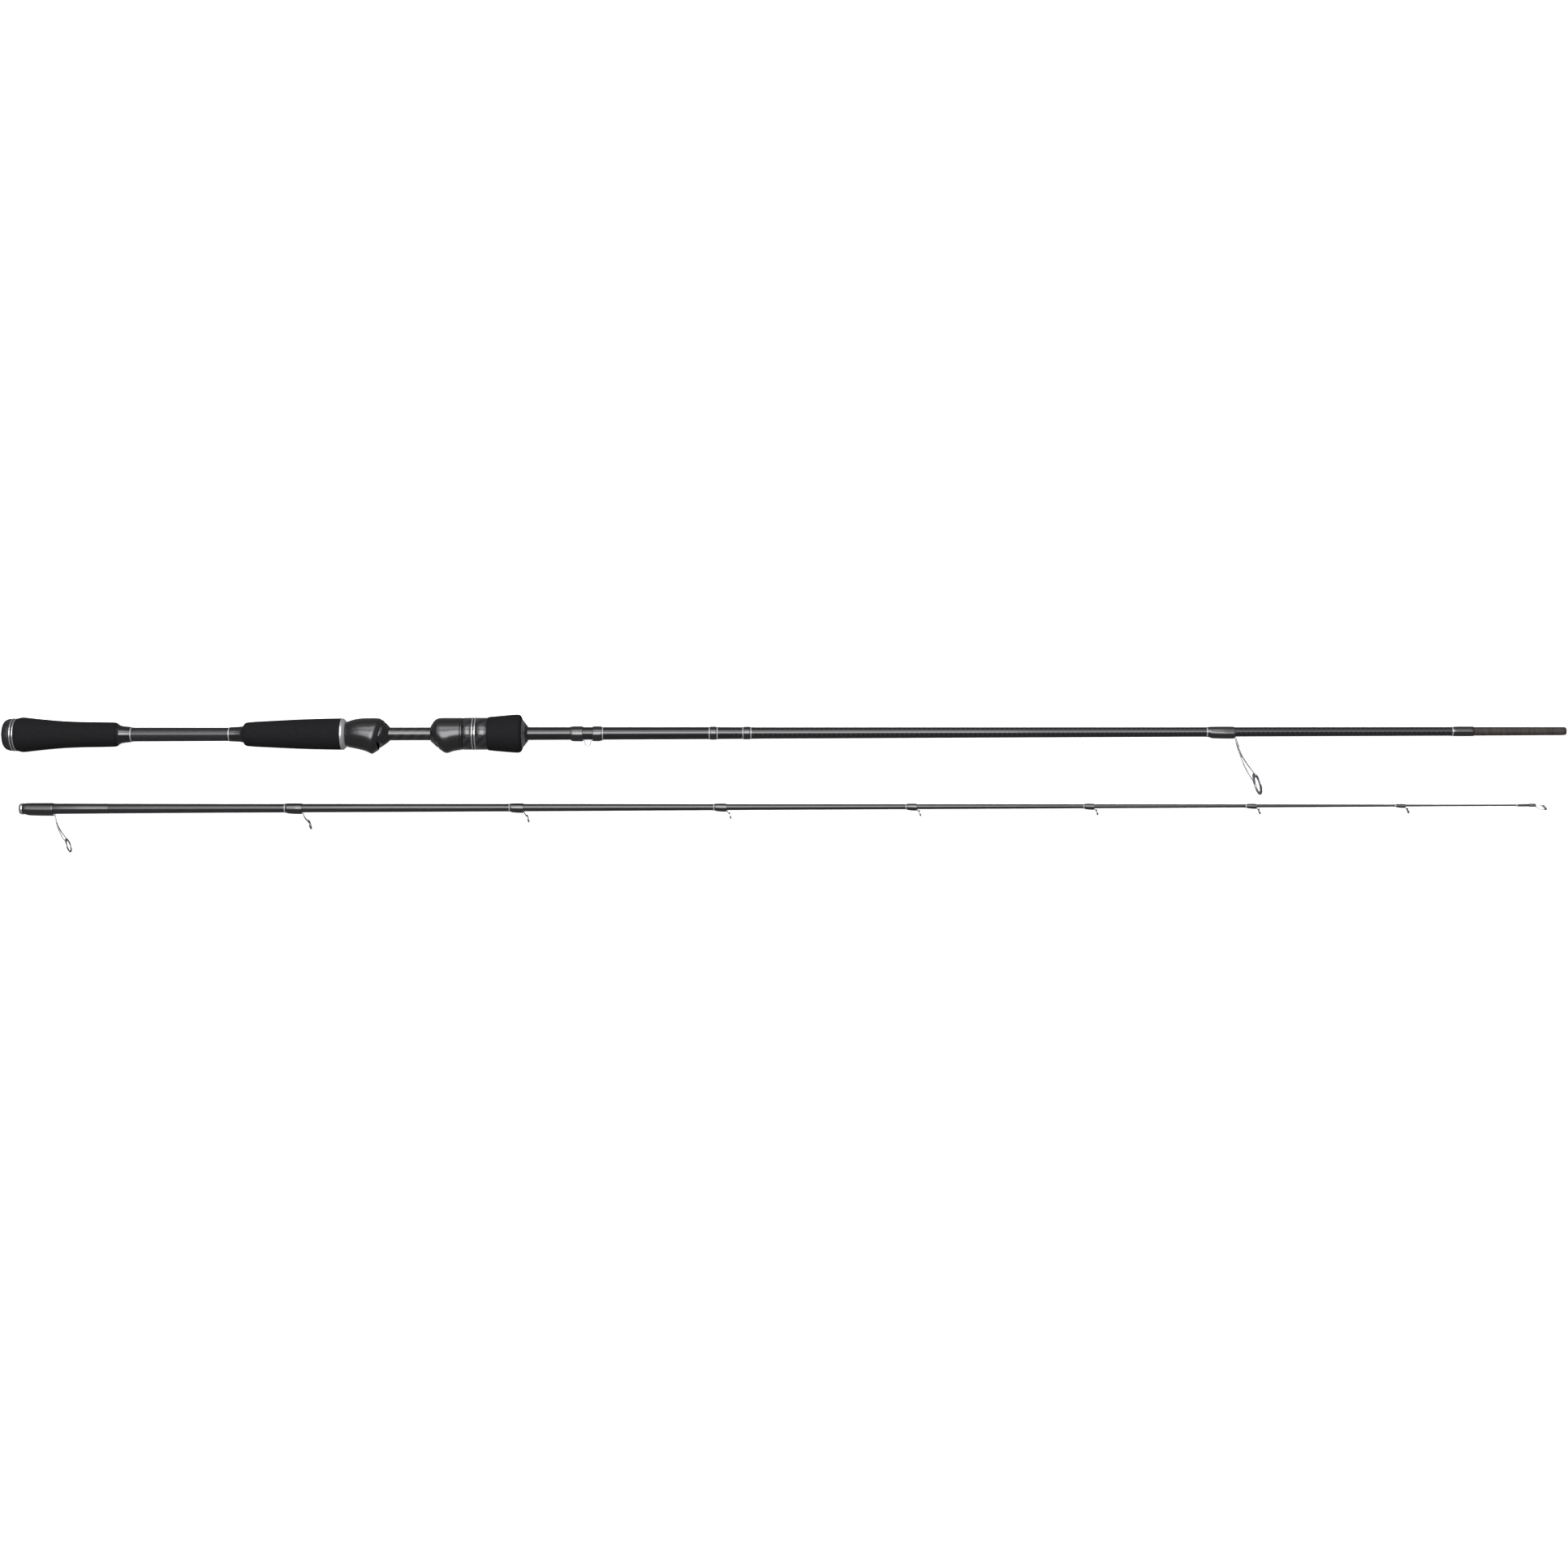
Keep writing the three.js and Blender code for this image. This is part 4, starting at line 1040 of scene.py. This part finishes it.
def onBand(outside, station, reach, lean, angle, side, deep=0.0):
    # a point on the band, `angle` degrees off the end of it that is nearest the blank
    sizes = ringSizes(outside)
    grip = sizes["outer"] - sizes["band"] * 0.4
    spread = radians(angle)
    point = Vector((deep, side * grip * sin(spread), grip * cos(spread)))
    point.rotate(Matrix.Rotation(-lean, 3, "Y"))
    return point + Vector((station, 0, -reach))


def guideFrame(name, guide, outline):
    root, ahead, reach, ring, foot = (guide[key] for key in ("root", "ahead", "reach", "ring", "foot"))
    blank = radiusAt(outline, root)
    breadth = 0.6 + foot * 1.3
    footStart = guide["wrap"] + (root - guide["wrap"]) * 0.15
    low, high = blank + 0.1, blank + 0.1 + foot
    corners = ([footStart, -breadth / 2, -high], [root + foot * 0.6, breadth / 2, -low])
    bar = barBetween("foot", *corners, foot * 0.3)
    for vertex in bar.data.vertices:  # ground to a feather edge under the thread
        along = (vertex.co.x / mm - footStart) / (root - footStart)
        share = min(1, 0.3 + along * 2.2)
        vertex.co.z = -low * mm + (vertex.co.z + low * mm) * share
    parts = [bar, leanRing(ringBand(ring), root + ahead, reach, ringLean)]
    thick = foot * 1.3
    middleZ = -(low + foot / 2)
    tip = onBand(ring, root + ahead, reach, ringLean, 52, 1, -ringSizes(ring)["depth"] * 0.2)
    drop, fall = Vector((root, 0, middleZ)), tip.z - middleZ
    stem = [[root - foot, 0, middleZ]]
    neck = ((0.01, 0.02), (0.07, 0.12), (0.15, 0.24))
    stem += [list(drop + Vector((ahead * x, 0, fall * z))) for x, z in neck]
    parts.append(bentWire("stem", stem, thick * 1.25))
    for side in (-1, 1):
        bow = ((0.06, 0.12, 0.04), (0.14, 0.26, 0.12), (0.37, 0.54, 0.42), (0.71, 0.82, 0.8), (1, 1, 1))
        leg = [[drop.x + (tip.x - drop.x) * x, side * tip.y * y, middleZ + fall * z] for x, z, y in bow]
        parts.append(bentWire("leg", leg, thick * 1.05))
    if reach > 10:  # small plate that ties the legs together above the ring
        deep = -ringSizes(ring)["depth"] * 0.1
        tie = [onBand(ring, root + ahead, reach, ringLean, 34, side, deep) for side in (-1, 1)]
        lift = Vector((-ahead * 0.05, 0, ringSizes(ring)["outer"] * 0.24))
        middle = (tie[0] + tie[1]) / 2 + lift
        parts.append(bentWire("web", [tie[0] + lift * 0.5, middle, tie[1] + lift * 0.5], thick * 0.8))
    frameName = name.replace("guide_", "guide") + "Frame"
    frame = joinPieces(frameName, parts)
    smoothShade(frame, 40)
    return frame


def addGuide(name, master):
    guide = guides[name]
    butt = name == "guide_1"
    section = buttSection if butt else tipSection
    body = "butt_section" if butt else "tip_section"
    tube = buttBlank if butt else ferrule if name == "guide_2" else tipBlank
    outline = tube["outline"]
    fit(guideFrame(name, guide, outline), section, body, "dark_steel", darkSteel, name + "_frame")
    short = name.replace("guide_", "guide")
    station = guide["root"] + guide["ahead"]
    ring = ceramicRing(master, short + "Ring", guide["ring"], station, guide["reach"], ringLean)
    fit(ring, section, body, "ceramic", ceramic, name + "_ring")
    start, end, foot = guide["wrap"], guide["root"] - 0.3, guide["foot"]
    blank = radiusAt(outline, (start + end) / 2)
    back, proud, length = blank + 0.35 + foot * 0.1, blank + 0.2 + foot, end - start
    rows = [
        [start, blank + 0.15, start, blank + 0.2],
        [start + length * 0.05, blank + 0.34, start + length * 0.06, blank + 0.4],
        [start + length * 0.14, back, start + length * 0.18, proud + 0.12],
        [start + length * 0.5, back + 0.05, start + length * 0.55, proud + 0.42],
        [start + length * 0.88, back, start + length * 0.9, proud + 0.5],
        [end - length * 0.02, blank + 0.38, end - length * 0.01, proud + 0.42],
        [end, blank + 0.2, end, proud + 0.15],
    ]
    addWrap(short + "Wrap", rows, blank, section, body, buttThread if butt else tipThread, name + "_wrap")


def addTipTop(master):
    start, end, radius = tipTop["tube"], tipTop["tubeEnd"], tipTop["radius"]
    station, drop, outside = tipTop["ringStation"], tipTop["drop"], tipTop["ring"]
    lean = ringLean * 2
    bore, boreEnd = 0.78, 1122.4  # the end of the blank sits in this blind hole
    outline = [[start, bore], [start, radius - 0.15], [start + 0.15, radius], [end - 0.5, radius]]
    outline += [[end - 0.12, radius * 0.8], [end, radius * 0.45], [end, 0]]
    outline += [[boreEnd, 0], [boreEnd, bore], [start, bore]]
    parts = [turnPiece("tipTube", outline, 40), leanRing(ringBand(outside), station, drop, lean)]
    outer = ringSizes(outside)["outer"]
    for side in (-1, 1):
        arm = [[end - 1.6, side * radius * 0.6, 0], [end - 0.2, side * radius * 0.8, 0]]
        arm.append([(end + station) / 2 - 0.2, side * outer * 0.86, 0.05])
        arm.append([station, side * (outer + 0.02), -drop + 0.3])
        parts.append(bentWire("arm", arm, 0.5))
    low = onBand(outside, station, drop, lean, 180, 1)
    brace = [[end - 1.4, 0, -radius * 0.6], [end + 1.2, 0, -1.9], [end + 3, 0, -3]]
    brace.append(list(low + Vector((0, 0, 0.15))))
    parts.append(bentWire("brace", brace, 0.5))
    frame = joinPieces("tipTopFrame", parts)
    smoothShade(frame, 40)
    fit(frame, tipSection, "tip_section", "polished_steel", steel, "tip_top_frame")
    ring = ceramicRing(master, "tipTopRing", outside, station, drop, lean)
    fit(ring, tipSection, "tip_section", "ceramic", ceramic, "tip_top_ring")
    outline = [*tipBlank["outline"][:-1], [1140, 0.66]]
    span = (tipTop["wrap"], start - 0.1)
    addPlainWrap("tipTopWrap", *span, outline, 0.33, tipSection, "tip_section", tipThread, "tip_top_wrap")


def addEndRing():
    mouth = ferrule["outline"][0][1]
    outer = bandWithEdges(0.9, 2.4, mouth + 0.4, 0.15)
    ring = turnTube("ferruleEndRing", outer, [[0.9, mouth + 0.05], [2.4, mouth + 0.05]], 48)
    smoothShade(ring, 50)
    fit(ring, tipSection, "tip_section", "aluminium_trim", tipAluminium, "ferrule_end_ring")


insertMaster = ceramicMaster()
for guideName in guides:
    addGuide(guideName, insertMaster)
addTipTop(insertMaster)
addEndRing()
bpy.data.objects.remove(insertMaster)

print("studio")

studio = {
    "camera": (-0.001, -0.001, 1.694),
    "turn": -0.00236,
    "angle": 38.07,
    "floor": 30,
    "floorColour": "#f2f2f2",
    "floorGlow": 0.8,
    "world": 0.2,
}
# softboxes: how far each leans from overhead, its distance and width, and its layers of cloth
softboxes = [
    {
        "lean": 10.5, "distance": 2.2, "width": 1.2,
        "layers": [(-1.7, 1.35, 1.9), (-1.15, 0.75, 2.7), (-0.8, 0.4, 2.8)],
    },
    {
        "lean": 41.5, "distance": 2.2, "width": 0.8,
        "layers": [(-1.7, 1.35, 1.1), (-1.15, 0.75, 1.4), (-0.8, 0.4, 1.4)],
    },
    {"lean": 66, "distance": 2.2, "width": 1.0, "layers": [(-1.5, 1.35, 0.3)]},
]


def addStudio():
    scene = bpy.context.scene
    bpy.ops.mesh.primitive_plane_add(size=studio["floor"])
    floor = bpy.context.object
    floor.name = "floor"
    material, tree, shader = newMaterial("white seamless paper")
    place = put(tree, "TexCoord").outputs["Object"]
    colour, _ = speckled(tree, place, 40, "#f0f0f0", studio["floorColour"])
    glow = {"Emission Color": linear("#ffffff"), "Emission Strength": studio["floorGlow"]}
    put(tree, shader, {"Base Color": colour, "Roughness": 0.9, "Specular IOR Level": 0.1, **glow})
    bpy.ops.mesh.primitive_uv_sphere_add(radius=studio["floor"] / 2 - 0.5)
    backdrop = bpy.context.object
    backdrop.name = "backdrop"
    for sheet in (floor, backdrop):  # lit from within and kept out of the reflections, as in a light tent
        sheet.data.materials.append(material)
        sheet.visible_glossy = sheet.visible_diffuse = False
    backdrop.visible_shadow = False
    for box in softboxes:
        lean = radians(box["lean"])
        for at, (left, right, radiance) in enumerate(box["layers"]):
            distance = box["distance"] - 0.01 * at  # a layer in the same plane as another would hide it
            place = ((left + right) / 2, distance * sin(lean), distance * cos(lean))
            bpy.ops.object.light_add(type="AREA", location=place, rotation=(-lean, 0, 0))
            light = bpy.context.object.data
            light.shape = "RECTANGLE"
            light.size, light.size_y = right - left, box["width"]
            light.energy = radiance * pi * light.size * light.size_y
    world = bpy.data.worlds.new("studio")
    world.use_nodes = True
    world.node_tree.nodes["Background"].inputs["Color"].default_value = (1, 1, 1, 1)
    world.node_tree.nodes["Background"].inputs["Strength"].default_value = studio["world"]
    scene.world = world
    bpy.ops.object.camera_add(location=studio["camera"], rotation=(0, 0, studio["turn"]))
    camera = bpy.context.object
    camera.data.angle = radians(studio["angle"])
    scene.camera = camera
    scene.view_settings.view_transform = "Standard"


addStudio()
